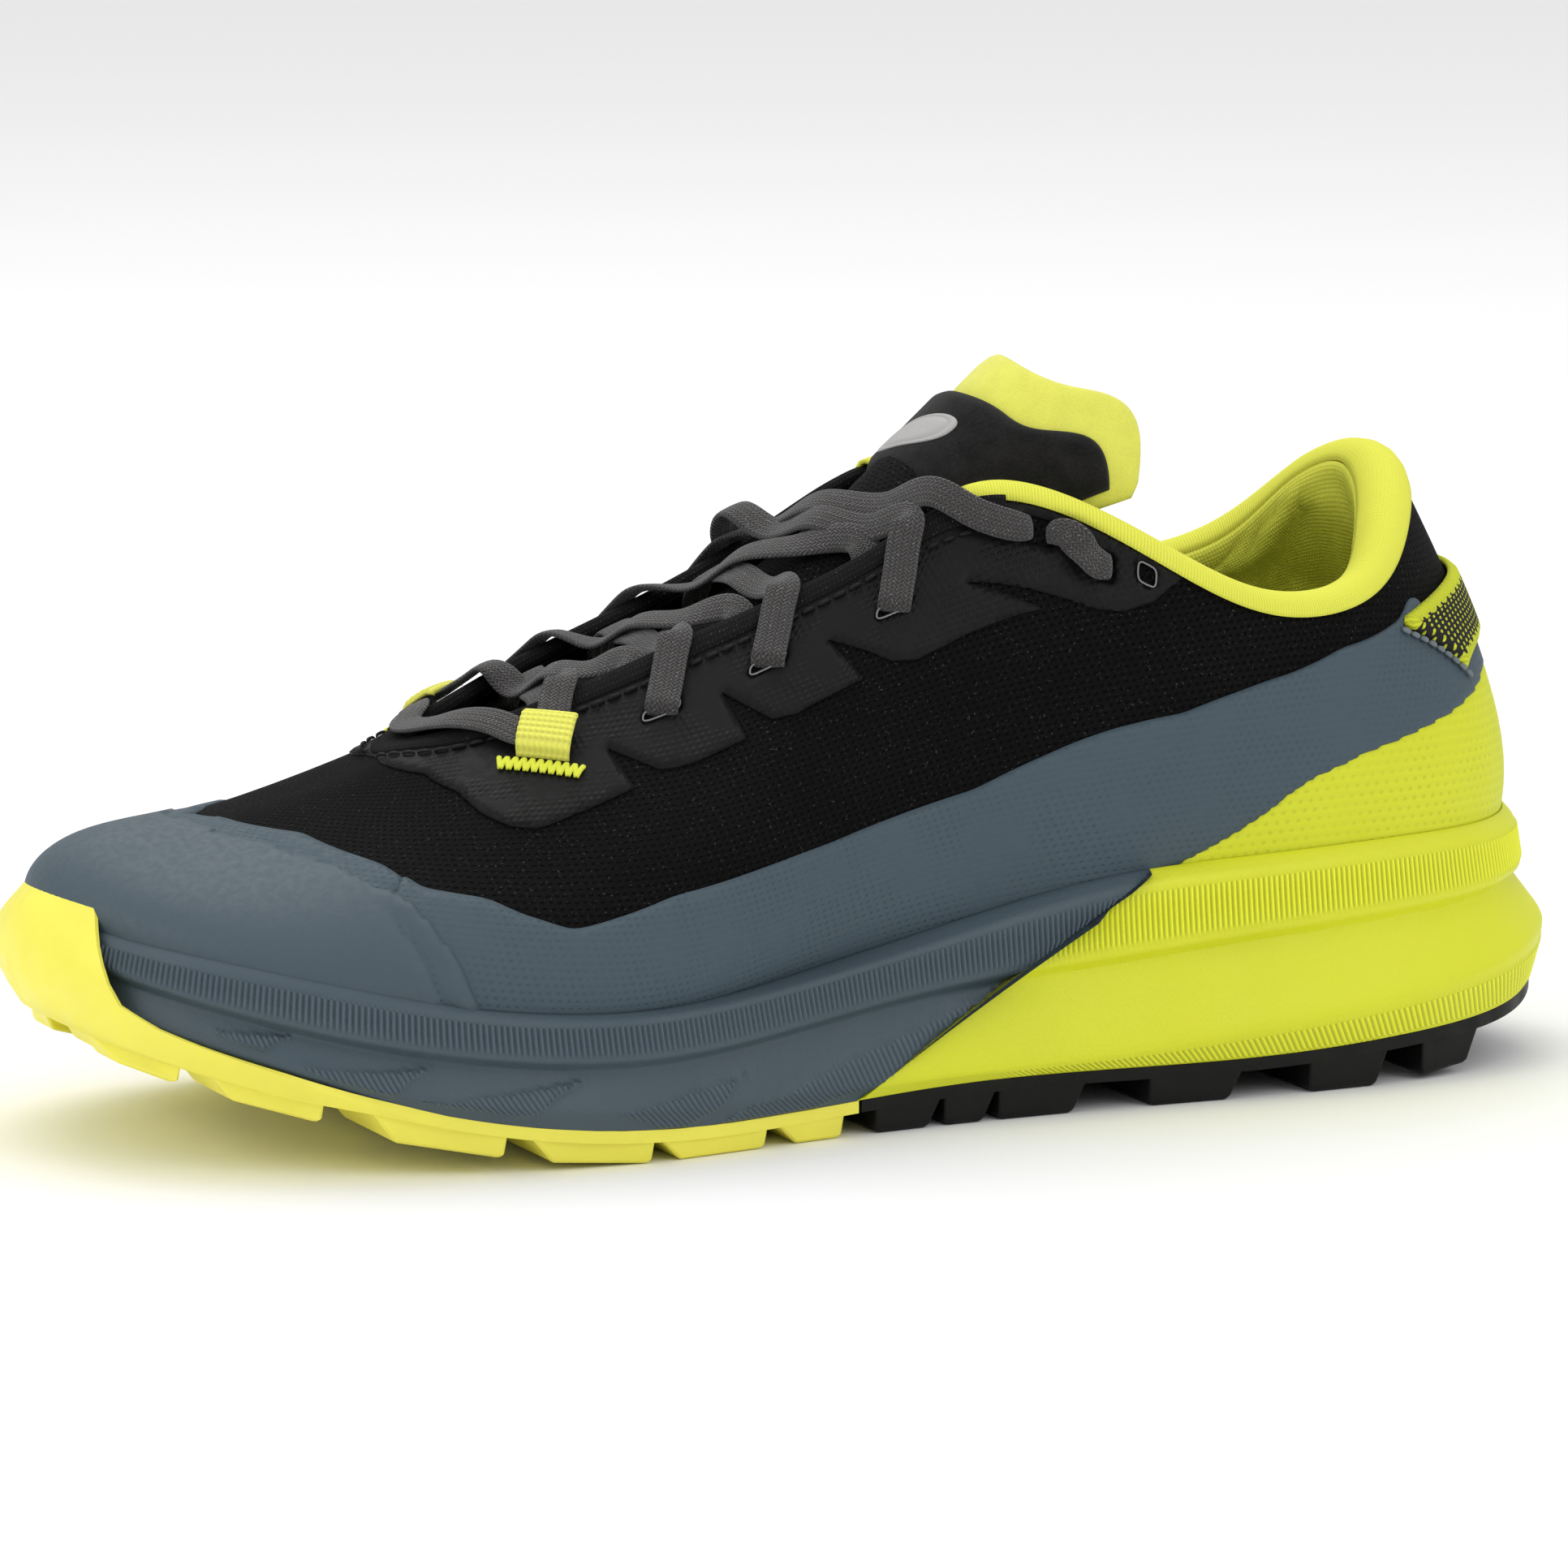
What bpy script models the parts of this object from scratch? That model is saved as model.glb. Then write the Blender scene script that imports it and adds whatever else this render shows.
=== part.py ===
"""Left trail running shoe, laced, built as the shoemaker does: outsole, midsole, board and insole below, and a
knitted upper with its overlays, padding, lining, tongue and lace above.

The toe points to -X, the lateral side to -Y, and the shoe stands on z = 0.
"""
import bpy
import bmesh
import numpy as np

MM = 0.001

# ---------------------------------------------------------------- driving dimensions, mm
ORIGIN = np.array([-0.13, 2.2, 0.0])        # of the shoe's frame, in the frame of the nets below
STATIONS = 22                               # columns of every net: 0 heel, 5.5 side, 11 toe, 16.5 inner side
PER_STATION = 3                             # columns of a solid in each station
GAP = 0.3                                   # left between pieces that touch

# Layers of the upper, as lifts from the outer face of the knit.
OVERLAY = (0.3, 1.0)
KNIT = (-1.2, 0.0)
STIFFENER = (-2.5, -1.5)
BACKING = (-2.1, -1.5)
LINING = (-3.8, -3.0)
LIP_CLEARANCE = 1.8                         # midsole lip, outside the knit

BOARD = (-1.6, -0.4)                        # heights over the feather line
FOOTBED = -1.9
INSOLE_FOAM = (0.1, 4.1)
INSOLE_COVER = (4.4, 5.4)
INSOLE_INSET = 4.6

RUBBER = 2.2                                # outsole thickness between the lugs
WALL_GAP, GROOVE_BRIDGE = 1.1, 1.9          # bumper off the midsole, and more over the midsole's groove
LUG_GROOVE = 1.6                            # from the edge of a tread cell to its lug
LACE_WIDTH, LACE_THICKNESS = 6.0, 1.2
SLOT = (7.4, 2.4)                           # length along the throat, width
OVER_LIFT, UNDER_LIFT, LOOP_LIFT = 2.0, -3.2, 2.5  # lace centre over the eyestay, under it and in its loops
TUCK_LATERAL, TUCK_MEDIAL = -2.5, -2.7      # lace centre where its ends are tucked in
AGLET = (7.0, 3.2, 1.0)                    # length, width, thickness

# ---------------------------------------------------------------- nets
# The upper: at each station (x, y, z) of the feather line, low wall, mid wall, shoulder and rim.
UPPER_HEEL = [(136, 0, 35), (138.5, 0, 50), (135.5, 0, 69), (129, 0, 87), (119, 0, 108)]
UPPER_TOE = [(-138, 8, 36), (-141.5, 8, 43.5), (-133, 8, 53), (-107, 7, 57), (-74, 5, 67)]
UPPER_LATERAL = [
    [(124, -24, 35), (126, -26, 50), (123.5, -24.5, 68), (117.5, -22, 84), (111, -19.5, 98)],
    [(100, -34, 35), (101, -36, 51), (100.5, -36, 66), (99, -33.5, 78), (98, -30.5, 88)],
    [(72, -35, 34.5), (73, -38, 50), (74, -38.5, 64), (75, -37, 76), (76, -35, 87)],
    [(43, -34, 33), (45, -37, 48), (48, -37.5, 65), (51, -35.5, 81), (54, -32, 98)],
    [(10, -34, 30), (12, -37.5, 42), (18, -37, 62), (24, -33, 84), (28, -23, 109)],
    [(-22, -38, 25), (-20, -42.5, 34), (-13, -41, 55), (-5, -32, 78), (4, -20, 99)],
    [(-50, -44, 21), (-49, -49, 29), (-43, -46.5, 47), (-34, -33, 67), (-24, -16.5, 87)],
    [(-80, -44, 22), (-79.5, -48, 30), (-73, -44, 44), (-62, -30, 60), (-50, -14, 77)],
    [(-108, -36, 27), (-109, -39, 35), (-102, -33.5, 46), (-86, -21, 57), (-66, -9, 71)],
    [(-130, -16, 33), (-132.5, -17, 41), (-126, -12, 49.5), (-103, -5, 57), (-72, -3, 68.5)],
]
UPPER_MEDIAL = [
    [(124, 24, 35), (126, 26, 50), (123.5, 24.5, 68), (118, 22, 86), (112.5, 18.5, 104)],
    [(100, 33, 35), (101, 35, 51), (100.5, 35, 66), (100, 33.5, 80), (99.5, 30.5, 92)],
    [(72, 31, 35), (73, 34, 51), (74, 36, 65), (75, 36, 77), (76, 34.5, 87)],
    [(43, 27, 34), (45, 31, 49), (48, 34.5, 66), (51, 34.5, 82), (53, 32, 97)],
    [(10, 27, 31), (12, 32, 44), (18, 35, 64), (24, 32.5, 85), (28, 24, 109)],
    [(-22, 36, 26), (-20, 41, 36), (-13, 40.5, 57), (-5, 33, 79), (4, 22, 99.5)],
    [(-50, 46, 22), (-49, 51, 31), (-43, 48, 49), (-34, 36, 68), (-24, 19, 87)],
    [(-80, 50, 22.5), (-79.5, 54, 31), (-73, 50, 45), (-62, 36, 61), (-50, 17, 77)],
    [(-108, 46, 27), (-109, 49, 35), (-102, 44, 46), (-86, 31, 57), (-66, 14, 70)],
    [(-129, 30, 33), (-131.5, 32, 41), (-125, 27.5, 49), (-102, 18, 57), (-72, 11, 67.5)],
]
# The sole: plan of the ribbed band's top edge from heel to toe, then height and flare of each row on it.
PLAN_HEEL, PLAN_TOE = (141, 0), (-142.5, 9)
PLAN_LATERAL = [(128, -28), (101, -38.5), (73, -40.5), (44, -40), (12, -41), (-20, -45.5), (-50, -51.5),
                (-81, -50.5), (-111, -41), (-135, -18)]
PLAN_MEDIAL = [(128, 28), (101, 38), (73, 38), (44, 35), (12, 35), (-20, 44.5), (-50, 54), (-81, 56.5),
               (-111, 51.5), (-134, 34.5)]
SOLE_ROWS = {
    "bottom": ([16, 12, 9, 7.5, 7.5, 7.5, 6, 6, 9.5, 17, 24, 27], [3, 3, 2.5, 2, 2, 2, 1.5, 1, 0.5, 0, -1, -1]),
    "ridge": ([25.5, 22, 17, 13.5, 10.5, 9.5, 9, 9.5, 12.5, 19, 27, 30], [6, 5.5, 5, 4.5, 4, 3.5, 2.5, 2, 2, 2, 1.5, 1.5]),
    "groove": ([34, 32.5, 30, 28.5, 26, 23.5, 19.5, 17, 19, 25, 32, 35], [-1] + [-0.8] * 5 + [-0.5] * 6),
    "band_foot": ([36, 34.5, 32.5, 30.5, 28, 25.5, 21.5, 19, 21, 27, 34, 37], [1] + [1.5] * 5 + [2] * 4 + [1.5] * 2),
    "band_top": ([43.5, 43, 42.5, 41.5, 39.5, 33.5, 28, 25.5, 27.5, 33.5, 38.5, 41], [0] * 12),
}
LUG_FLOOR = [(-146, 24), (-134, 17), (-122, 13.5), (-105, 9), (-92, 5), (-79, 3), (-66, 1), (-55, 0), (100, 0),
             (114, 1.5), (128, 4), (136, 7), (146, 10.5)]
MIDSOLE_SPLIT = ((46, 39), (-7, 8))         # (x, z) of the joint between the two foams

# ---------------------------------------------------------------- edges on the upper: (station, row)
TOE_CAP_TOP = [(8.3, 2.2), (8.75, 2.4), (9.4, 2.8), (10.3, 2.95), (11, 2.85)]
BAND_TOP = [(0, 2.42), (1.0, 2.2), (1.6, 3.2), (2.35, 3.3), (3, 2.9), (3.65, 2.35), (5, 1.85), (5.95, 1.85),
            (7.05, 1.95), (7.65, 1.9), (8.3, 2.2)]
BAND_FOOT = [(0, 2.1), (0.65, 2.1), (1.45, 1.85), (2.2, 1.6), (2.65, 1.35), (3.25, 0.75), (3.85, 0.3), (4.1, 0.1)]
HEEL_OVERLAY_TOP = [(0, 2.04), (0.65, 2.04), (1.45, 1.79), (2.2, 1.54), (2.65, 1.29), (3.25, 0.69), (3.85, 0.24)]
HEEL_TAB = [(0, 2.5, 3.2), (1.0, 2.3, 3.2), (1.5, 3.08, 3.2)]
EYESTAY_FOOT = [(3.75, 3.9), (3.95, 3.55), (4.15, 3.35), (4.35, 3.3), (4.75, 3.25), (5.55, 3), (5.7, 3), (7.75, 2.9),
                (8.0, 2.8), (8.2, 2.85), (8.45, 3.05), (8.7, 3.3), (9.15, 3.55), (10.6, 3.85), (11, 3.85)]
BUMPER_TOP = [(8.67, 0), (9.33, 1), (9.67, 1.5), (10, 3), (10.33, 4.2), (10.67, 5.6), (11, 6)]

# Slots for the lace, from the toe up: (station, row). The last three on each side stand across the throat.
LATERAL_SLOTS = [(7.3, 3.5), (6.6, 3.5), (5.75, 3.45), (4.8, 3.78), (4.66, 3.78), (4.28, 3.68)]
MEDIAL_SLOTS = [(14.3, 3.5), (14.95, 3.5), (15.6, 3.5), (16.15, 3.6), (16.28, 3.6), (16.52, 3.6)]
LOOPS = [(8.1, 3.6), (13.75, 3.6)]          # webbing loops at the foot of the lacing

PAD = [(0, 6.5), (1, 6.5), (2, 5.5), (3, 4.5), (4, 3.5), (5.2, 2.5)]
COLLAR_FRONT, PAD_FRONT = 5.2, 4.0          # stations where the lining and its foam end

# Tongue: centre line (x, z), half width and wrap of its edges; offsets from its outer face.
TONGUE_LINE = [(-66, 62.5), (-47, 75), (-28, 84), (-9, 94.5), (8, 106), (24, 118.5), (38, 130.5)]
TONGUE_HALF_WIDTH = [13, 18, 20, 20, 18.5, 18, 23]
TONGUE_WRAP = [6, 9, 11.5, 14, 15, 13, 11]
TONGUE_Y = 1.0


# ---------------------------------------------------------------- smooth surfaces
def knots_of(points):
    """Parameters 0..1 of a net's columns, by their mean spacing."""
    step = np.linalg.norm(np.diff(points, axis=1), axis=2).mean(axis=0)
    return np.concatenate([[0.0], np.cumsum(step)]) / step.sum()


def spline(knots, values, at, closed=False):
    """Cubic spline through values, one per knot, at the given parameters."""
    n = len(knots) - 1
    h = np.diff(knots)
    values = np.asarray(values, float)
    flat = values.reshape(len(values), -1)
    slope = np.diff(flat, axis=0) / h[:, None]
    size = n if closed else n + 1
    a, rhs = np.eye(size), np.zeros((size, flat.shape[1]))
    for i in range(0 if closed else 1, n):
        before, after = (i - 1) % n, (i + 1) % size
        a[i] = 0
        a[i, (i - 1) % size] += h[before]
        a[i, i] += 2 * (h[before] + h[i])
        a[i, after] += h[i]
        rhs[i] = 6 * (slope[i] - slope[before])
    m = np.linalg.solve(a, rhs)
    m = np.concatenate([m, m[:1]]) if closed else m
    at = np.asarray(at, float)
    i = np.clip(np.searchsorted(knots, at, side="right") - 1, 0, n - 1)
    w = h[i][:, None]
    b = ((at - knots[i]) / h[i])[:, None]
    c = 1 - b
    out = c * flat[i] + b * flat[i + 1] + ((c**3 - c) * m[i] + (b**3 - b) * m[i + 1]) * w**2 / 6
    return out.reshape((len(at),) + values.shape[1:])


class Skin:
    """Smooth closed band through a net of points: rows go up it, stations go round it."""

    def __init__(self, net, around=880, up=80):
        net = np.asarray(net, float)
        self.rows = len(net)
        net = np.concatenate([net, net[:, :1]], axis=1)
        self.around_knots, self.up_knots = knots_of(net), knots_of(net.transpose(1, 0, 2))
        columns = spline(self.around_knots, net.transpose(1, 0, 2), np.arange(around) / around, closed=True)
        self.grid = spline(self.up_knots, columns.transpose(1, 0, 2), np.linspace(0, 1, up + 1))
        along = np.roll(self.grid, -1, axis=1) - np.roll(self.grid, 1, axis=1)
        normal = np.cross(np.gradient(self.grid, axis=0), along)
        self.normal = normal / np.linalg.norm(normal, axis=2, keepdims=True)

    def sample(self, field, station, row):
        t = np.interp(station % STATIONS, np.arange(STATIONS + 1), self.around_knots)
        v = np.interp(row, np.arange(self.rows), self.up_knots)
        t, v = t * field.shape[1], v * (field.shape[0] - 1)
        i, j = int(t) % field.shape[1], min(int(v), field.shape[0] - 2)
        ft, fv, k = t - int(t), v - j, (i + 1) % field.shape[1]
        low = field[j, i] * (1 - ft) + field[j, k] * ft
        high = field[j + 1, i] * (1 - ft) + field[j + 1, k] * ft
        return low * (1 - fv) + high * fv

    def at(self, station, row, lift=0.0):
        normal = self.sample(self.normal, station, row)
        return self.sample(self.grid, station, row) + normal / np.linalg.norm(normal) * lift

    def frame(self, station, row):
        """Point, direction along the throat, direction up to the rim and outward normal."""
        normal = self.sample(self.normal, station, row)
        normal = normal / np.linalg.norm(normal)
        up = self.at(station, min(row + 0.1, self.rows - 1)) - self.at(station, row - 0.1)
        up = up - normal * (up @ normal)
        up = up / np.linalg.norm(up)
        return self.at(station, row), np.cross(up, normal), up, normal

    def over(self, station, up, lift):
        """Point a distance up beyond the rim."""
        point, _, above, normal = self.frame(station, self.rows - 1)
        return point + above * up + normal * lift

    def beyond(self, station, row, lift=0.0):
        """As at(), and for rows past the rim straight on from it."""
        rim = self.rows - 1
        if row <= rim:
            return self.at(station, row, lift)
        pitch = np.linalg.norm(self.at(station, rim) - self.at(station, rim - 0.1)) / 0.1
        return self.over(station, (row - rim) * pitch, lift)


def net_of(heel, lateral, toe, medial):
    return np.array([heel, *lateral, toe, *medial[::-1]], float).transpose(1, 0, 2)


def sole_net():
    """Rows of the sole: its plan moved out by each row's flare, at that row's heights."""
    plan = np.array([PLAN_HEEL, *PLAN_LATERAL, PLAN_TOE, *PLAN_MEDIAL[::-1]], float)
    along = np.roll(plan, -1, axis=0) - np.roll(plan, 1, axis=0)
    outward = np.stack([-along[:, 1], along[:, 0]], 1) / np.linalg.norm(along, axis=1, keepdims=True)
    outward *= np.sign(outward[0, 0])
    net = []
    for heights, flares in SOLE_ROWS.values():
        z, flare = np.array([*heights, *heights[-2:0:-1]]), np.array([*flares, *flares[-2:0:-1]])
        net.append(np.column_stack([plan + outward * flare[:, None], z]))
    return net


UPPER = Skin(net_of(UPPER_HEEL, UPPER_LATERAL, UPPER_TOE, UPPER_MEDIAL))
SOLE = Skin(sole_net())


def curve(points):
    """Row of an edge at a station, the same on both sides of the shoe."""
    stations, rows = zip(*points)
    return lambda s: float(np.interp(min(s % STATIONS, -s % STATIONS), stations, rows))


def columns(start, end):
    """Stations of a solid's columns from start to end."""
    inner = np.arange(np.ceil(start * PER_STATION + 0.1), np.floor(end * PER_STATION - 0.1) + 1) / PER_STATION
    return [start, *inner, end]


def all_round():
    return list(np.arange(STATIONS * PER_STATION) / PER_STATION)


# ---------------------------------------------------------------- solids
def material(name, color, roughness, metallic=0.0):
    mat = bpy.data.materials.new(name)
    mat.use_nodes = True
    shader = mat.node_tree.nodes["Principled BSDF"]
    shader.inputs["Base Color"].default_value = (*color, 1.0)
    shader.inputs["Roughness"].default_value = roughness
    shader.inputs["Metallic"].default_value = metallic
    return mat


def add_object(name, bm, mat, parent=None):
    """Close a body's seams, face it outward and put it in the scene."""
    bmesh.ops.remove_doubles(bm, verts=bm.verts, dist=2e-5)
    bmesh.ops.dissolve_degenerate(bm, edges=bm.edges, dist=1e-6)
    bmesh.ops.recalc_face_normals(bm, faces=bm.faces)
    mesh = bpy.data.meshes.new(name)
    bm.to_mesh(mesh)
    bm.free()
    mesh.materials.append(mat)
    obj = bpy.data.objects.new(name, mesh)
    bpy.context.collection.objects.link(obj)
    if parent:
        obj.parent = parent
        obj.matrix_parent_inverse = parent.matrix_world.inverted()
    return obj


def add_verts(bm, grid):
    return [[bm.verts.new((np.asarray(p) - ORIGIN) * MM) for p in line] for line in grid]


def add_strip(bm, one, two, closed=False):
    """Triangles between two rows of points with the same count."""
    count = len(one)
    for k in range(count if closed else count - 1):
        n = (k + 1) % count
        for corners in ((one[k], one[n], two[n]), (one[k], two[n], two[k])):
            bm.faces.new(corners)


def shell_mesh(outer, inner, closed=False, ends=(True, True)):
    """Body between two sheets of points, each a list of columns."""
    bm = bmesh.new()
    out, inn = add_verts(bm, outer), add_verts(bm, inner)
    pairs = list(zip(range(len(out)), [*range(1, len(out)), 0]))
    for a, b in pairs if closed else pairs[:-1]:
        add_strip(bm, out[a], out[b])
        add_strip(bm, inn[a], inn[b])
        for k in (0, -1):
            add_strip(bm, [out[a][k], out[b][k]], [inn[a][k], inn[b][k]])
    for k, wanted in zip((0, -1), ends):
        if wanted and not closed:
            add_strip(bm, out[k], inn[k])
    return bm


def patch_columns(stations, low, high, lift, rows):
    """Columns of points on the upper between two edges, keeping to shared rows in between."""
    shared = np.arange(0, UPPER.rows - 1 + 1e-6, 1 / rows)
    out = []
    for s in stations:
        lo, hi = low(s), max(high(s), low(s) + 0.02)
        out.append([UPPER.at(s, np.clip(r, lo, hi), lift) for r in shared])
    return out


def add_patch(name, span, low, high, layer, mat, rows=2, closed=False):
    stations = all_round() if closed else columns(*span)
    sheets = [patch_columns(stations, low, high, lift, rows) for lift in (layer[1], layer[0])]
    return add_object(name, shell_mesh(*sheets, closed=closed), mat)


def ladder(bm, ring):
    """Close a ring of the shoe's outline across, each lateral point to its medial one."""
    n = len(ring)
    for k in range(n // 2):
        corners = [ring[k], ring[k + 1], ring[(n - k - 1) % n], ring[(n - k) % n]]
        corners = [v for i, v in enumerate(corners) if v not in corners[:i]]
        bm.faces.new(corners)


def add_slab(name, station_ring, layer, mat, parent=None):
    """Sheet across the shoe between two heights over its outline."""
    bm = bmesh.new()
    rings = add_verts(bm, [[p + (0, 0, z) for p in station_ring] for z in layer])
    add_strip(bm, *rings, closed=True)
    for ring in rings:
        ladder(bm, ring)
    return add_object(name, bm, mat, parent)


def row_at_height(s, z):
    """Row where the upper's lower wall reaches a height."""
    rows = np.linspace(0, 2, 81)
    return float(np.interp(z, [UPPER.at(s, r)[2] for r in rows], rows))


# ---------------------------------------------------------------- sole unit
def midsole_mesh():
    bm = bmesh.new()
    rings = []
    for row in range(SOLE.rows):
        rings.append([SOLE.at(s, row) for s in all_round()])
    lip = []
    for s in all_round():
        inner = UPPER.at(s, row_at_height(s, SOLE.at(s, SOLE.rows - 1)[2]), LIP_CLEARANCE)
        lip.append(inner)
    foot = [UPPER.at(s, 0, LIP_CLEARANCE) + (0, 0, FOOTBED) for s in all_round()]
    rings = add_verts(bm, [*rings, lip, foot])
    for a, b in zip(rings, rings[1:]):
        add_strip(bm, a, b, closed=True)
    for ring in (rings[0], rings[-1]):
        ladder(bm, ring)
    return bm


def add_midsole(name, front, mat):
    """Half of the midsole, cut at the joint between its two foams."""
    bm = midsole_mesh()
    (x1, z1), (x2, z2) = MIDSOLE_SPLIT
    normal = np.array([z1 - z2, 0, x2 - x1]) / np.hypot(x1 - x2, z1 - z2)
    point = np.array([x1, 0, z1]) - ORIGIN + normal * (GAP / 2 * (-1 if front else 1))
    cut = bmesh.ops.bisect_plane(bm, geom=[*bm.verts, *bm.edges, *bm.faces], plane_co=point * MM,
                                 plane_no=normal, clear_outer=front, clear_inner=not front)
    edges = [e for e in cut["geom_cut"] if isinstance(e, bmesh.types.BMEdge)]
    bmesh.ops.triangle_fill(bm, edges=edges, use_beauty=True)
    return add_object(name, bm, mat)


def lug_floor(x):
    return float(np.interp(x, *zip(*LUG_FLOOR)))


def outsole_section(s, across, inside):
    """Rubber at a station: up the bumper on each side, and straight across under the midsole."""
    wall = np.clip((s - 8.33) / 0.6, 0, 1)
    top = curve(BUMPER_TOP)(s)
    side = {}
    for half, station in (("lateral", s), ("medial", -s)):
        lift = (WALL_GAP if inside else WALL_GAP + RUBBER) * wall
        drop = GAP if inside else GAP + RUBBER
        points = []
        for w in np.clip(np.arange(7), 0, top):
            if w <= SOLE.rows - 1:
                bridge = GROOVE_BRIDGE * wall * max(0, 1 - abs(w - 2))
                point = SOLE.at(station, w, lift + bridge) - (0, 0, drop * max(0, 1 - w))
            else:
                on_cap = UPPER.at(station, 1 + 0.6 * max(0, w - 5), OVERLAY[1] + lift)
                blend = min(1, w - 4)
                point = SOLE.at(station, SOLE.rows - 1, lift) * (1 - blend) + on_cap * blend
            points.append(point)
        side[half] = points
    a, b = side["lateral"][0], side["medial"][0]
    under = [a + (b - a) * q for q in np.arange(1, across) / across]
    return [*side["lateral"][::-1], *under, *side["medial"]]


def add_outsole(name, span, across, closed_end, mat):
    """Rubber sheet with a lug in every other cell of its underside."""
    stations = columns(*span)
    sheets = [[outsole_section(s, across, inside) for s in stations] for inside in (False, True)]
    bm = shell_mesh(*sheets, ends=(closed_end != 0, closed_end != -1))
    bmesh.ops.remove_doubles(bm, verts=bm.verts, dist=2e-5)
    bmesh.ops.dissolve_degenerate(bm, edges=bm.edges, dist=1e-6)
    bmesh.ops.recalc_face_normals(bm, faces=bm.faces)
    add_lugs(bm, stations, across)
    return add_object(name, bm, mat)


def add_lugs(bm, stations, across):
    """Draw the cells of the tread down to the lug floor."""
    lugs = []
    for i in range(len(stations) - 1):
        for j in range(across):
            if (i // 2 + j) % 2 or stations[i] > 10.6 or stations[i + 1] < 0.6:
                continue
            lugs.append((stations[i], stations[i + 1], j / across, (j + 1) / across))
    bmesh.ops.join_triangles(bm, faces=[f for f in bm.faces if f.normal.z < -0.85],
                             angle_face_threshold=0.5, angle_shape_threshold=3.1)
    wanted = []
    for s0, s1, q0, q1 in lugs:
        middle = (s0 + s1) / 2
        a, b = SOLE.at(middle, 0), SOLE.at(-middle, 0)
        centre = (a + (b - a) * (q0 + q1) / 2 - (0, 0, GAP + RUBBER) - ORIGIN) * MM
        face = min(bm.faces, key=lambda f: (f.calc_center_median() - type(f.normal)(centre)).length)
        if len(face.verts) == 4 and face not in wanted:
            wanted.append(face)
    bmesh.ops.inset_individual(bm, faces=wanted, thickness=LUG_GROOVE * MM)
    for face in wanted:
        top = bmesh.ops.extrude_discrete_faces(bm, faces=[face])["faces"][0]
        for v in top.verts:
            x = v.co.x / MM + ORIGIN[0]
            v.co.z = (lug_floor(x) - ORIGIN[2]) * MM


def add_boards(mats, insole_parent):
    rim = [UPPER.at(s, 0) for s in all_round()]
    inside = [UPPER.at(s, 0, -INSOLE_INSET) for s in all_round()]
    level = [np.array([p[0], p[1], q[2]]) for p, q in zip(inside, rim)]
    add_slab("strobel_board", rim, BOARD, mats["board"])
    add_slab("insole_foam", level, INSOLE_FOAM, mats["foam"], insole_parent)
    add_slab("insole_cover", level, INSOLE_COVER, mats["insole_fabric"], insole_parent)


# ---------------------------------------------------------------- upper
def slot_cutter(name, spots):
    """Guide object with a box for each lace slot, square to the upper."""
    bm = bmesh.new()
    for k, spot in enumerate(spots):
        centre, along, up, normal = UPPER.frame(*spot)
        if k % 6 > 2:
            along, up = up, -along
        corners = []
        for lift in (-2.6, 1.6):
            for a, b in ((-1, -1), (1, -1), (1, 1), (-1, 1)):
                corners.append(centre + along * a * SLOT[0] / 2 + up * b * SLOT[1] / 2 + normal * lift)
        v = add_verts(bm, [corners])[0]
        for k in range(4):
            n = (k + 1) % 4
            bm.faces.new((v[k], v[n], v[4 + n], v[4 + k]))
        bm.faces.new(v[:4])
        bm.faces.new(v[4:])
    bmesh.ops.recalc_face_normals(bm, faces=bm.faces)
    mesh = bpy.data.meshes.new(name)
    bm.to_mesh(mesh)
    bm.free()
    cutter = bpy.data.objects.new(name, mesh)
    bpy.context.collection.objects.link(cutter)
    cutter.hide_render = True
    cutter.display_type = "WIRE"
    return cutter


def cut(obj, cutter):
    boolean = obj.modifiers.new("slots", "BOOLEAN")
    boolean.operation = "DIFFERENCE"
    boolean.solver = "EXACT"
    boolean.object = cutter


def add_upper(mats):
    cutter = slot_cutter("slot_guide", [*LATERAL_SLOTS, *MEDIAL_SLOTS])
    whole, rim = curve([(0, 0), (11, 0)]), curve([(0, 4), (11, 4)])
    knit = add_patch("upper_knit", None, whole, rim, KNIT, mats["knit"], closed=True)
    add_patch("toe_cap", (8.36, 13.64), curve([(0, 0.1), (11, 0.1)]), curve(TOE_CAP_TOP), OVERLAY, mats["grey_film"])
    add_patch("toe_puff", (8.67, 13.33), curve([(0, 0.3), (11, 0.3)]), curve([(8, 1.5), (9, 2.2), (11, 2.4)]),
              STIFFENER, mats["stiffener"])
    for side, span in (("lateral", (0.04, 8.33)), ("medial", (13.67, 21.96))):
        add_patch("side_band_" + side, span, curve(BAND_FOOT), curve(BAND_TOP), OVERLAY, mats["grey_film"])
    add_patch("heel_overlay", (-3.8, 3.8), curve([(0, 0.1), (11, 0.1)]), curve(HEEL_OVERLAY_TOP), OVERLAY,
              mats["yellow_film"])
    stations, low, high = zip(*HEEL_TAB)
    add_patch("heel_tab", (-1.5, 1.5), curve(list(zip(stations, low))), curve(list(zip(stations, high))), OVERLAY,
              mats["ribbon"])
    add_patch("heel_counter", (-3.33, 3.33), curve([(0, 0.3), (11, 0.3)]), curve([(0, 2.3), (2, 1.9), (3.4, 1)]),
              STIFFENER, mats["stiffener"])
    eyestay = add_patch("eyestay", (3.8, 18.2), curve(EYESTAY_FOOT), curve([(0, 3.97), (11, 3.97)]), OVERLAY,
                        mats["black_film"])
    for side, span in (("lateral", (5.4, 8.67)), ("medial", (13.33, 16.0))):
        backing = add_patch("eyelet_backing_" + side, span, curve([(0, 3.0), (11, 3.0)]),
                            curve([(0, 3.95), (11, 3.95)]), BACKING, mats["webbing_black"])
        cut(backing, cutter)
    cut(knit, cutter)
    cut(eyestay, cutter)


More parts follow.
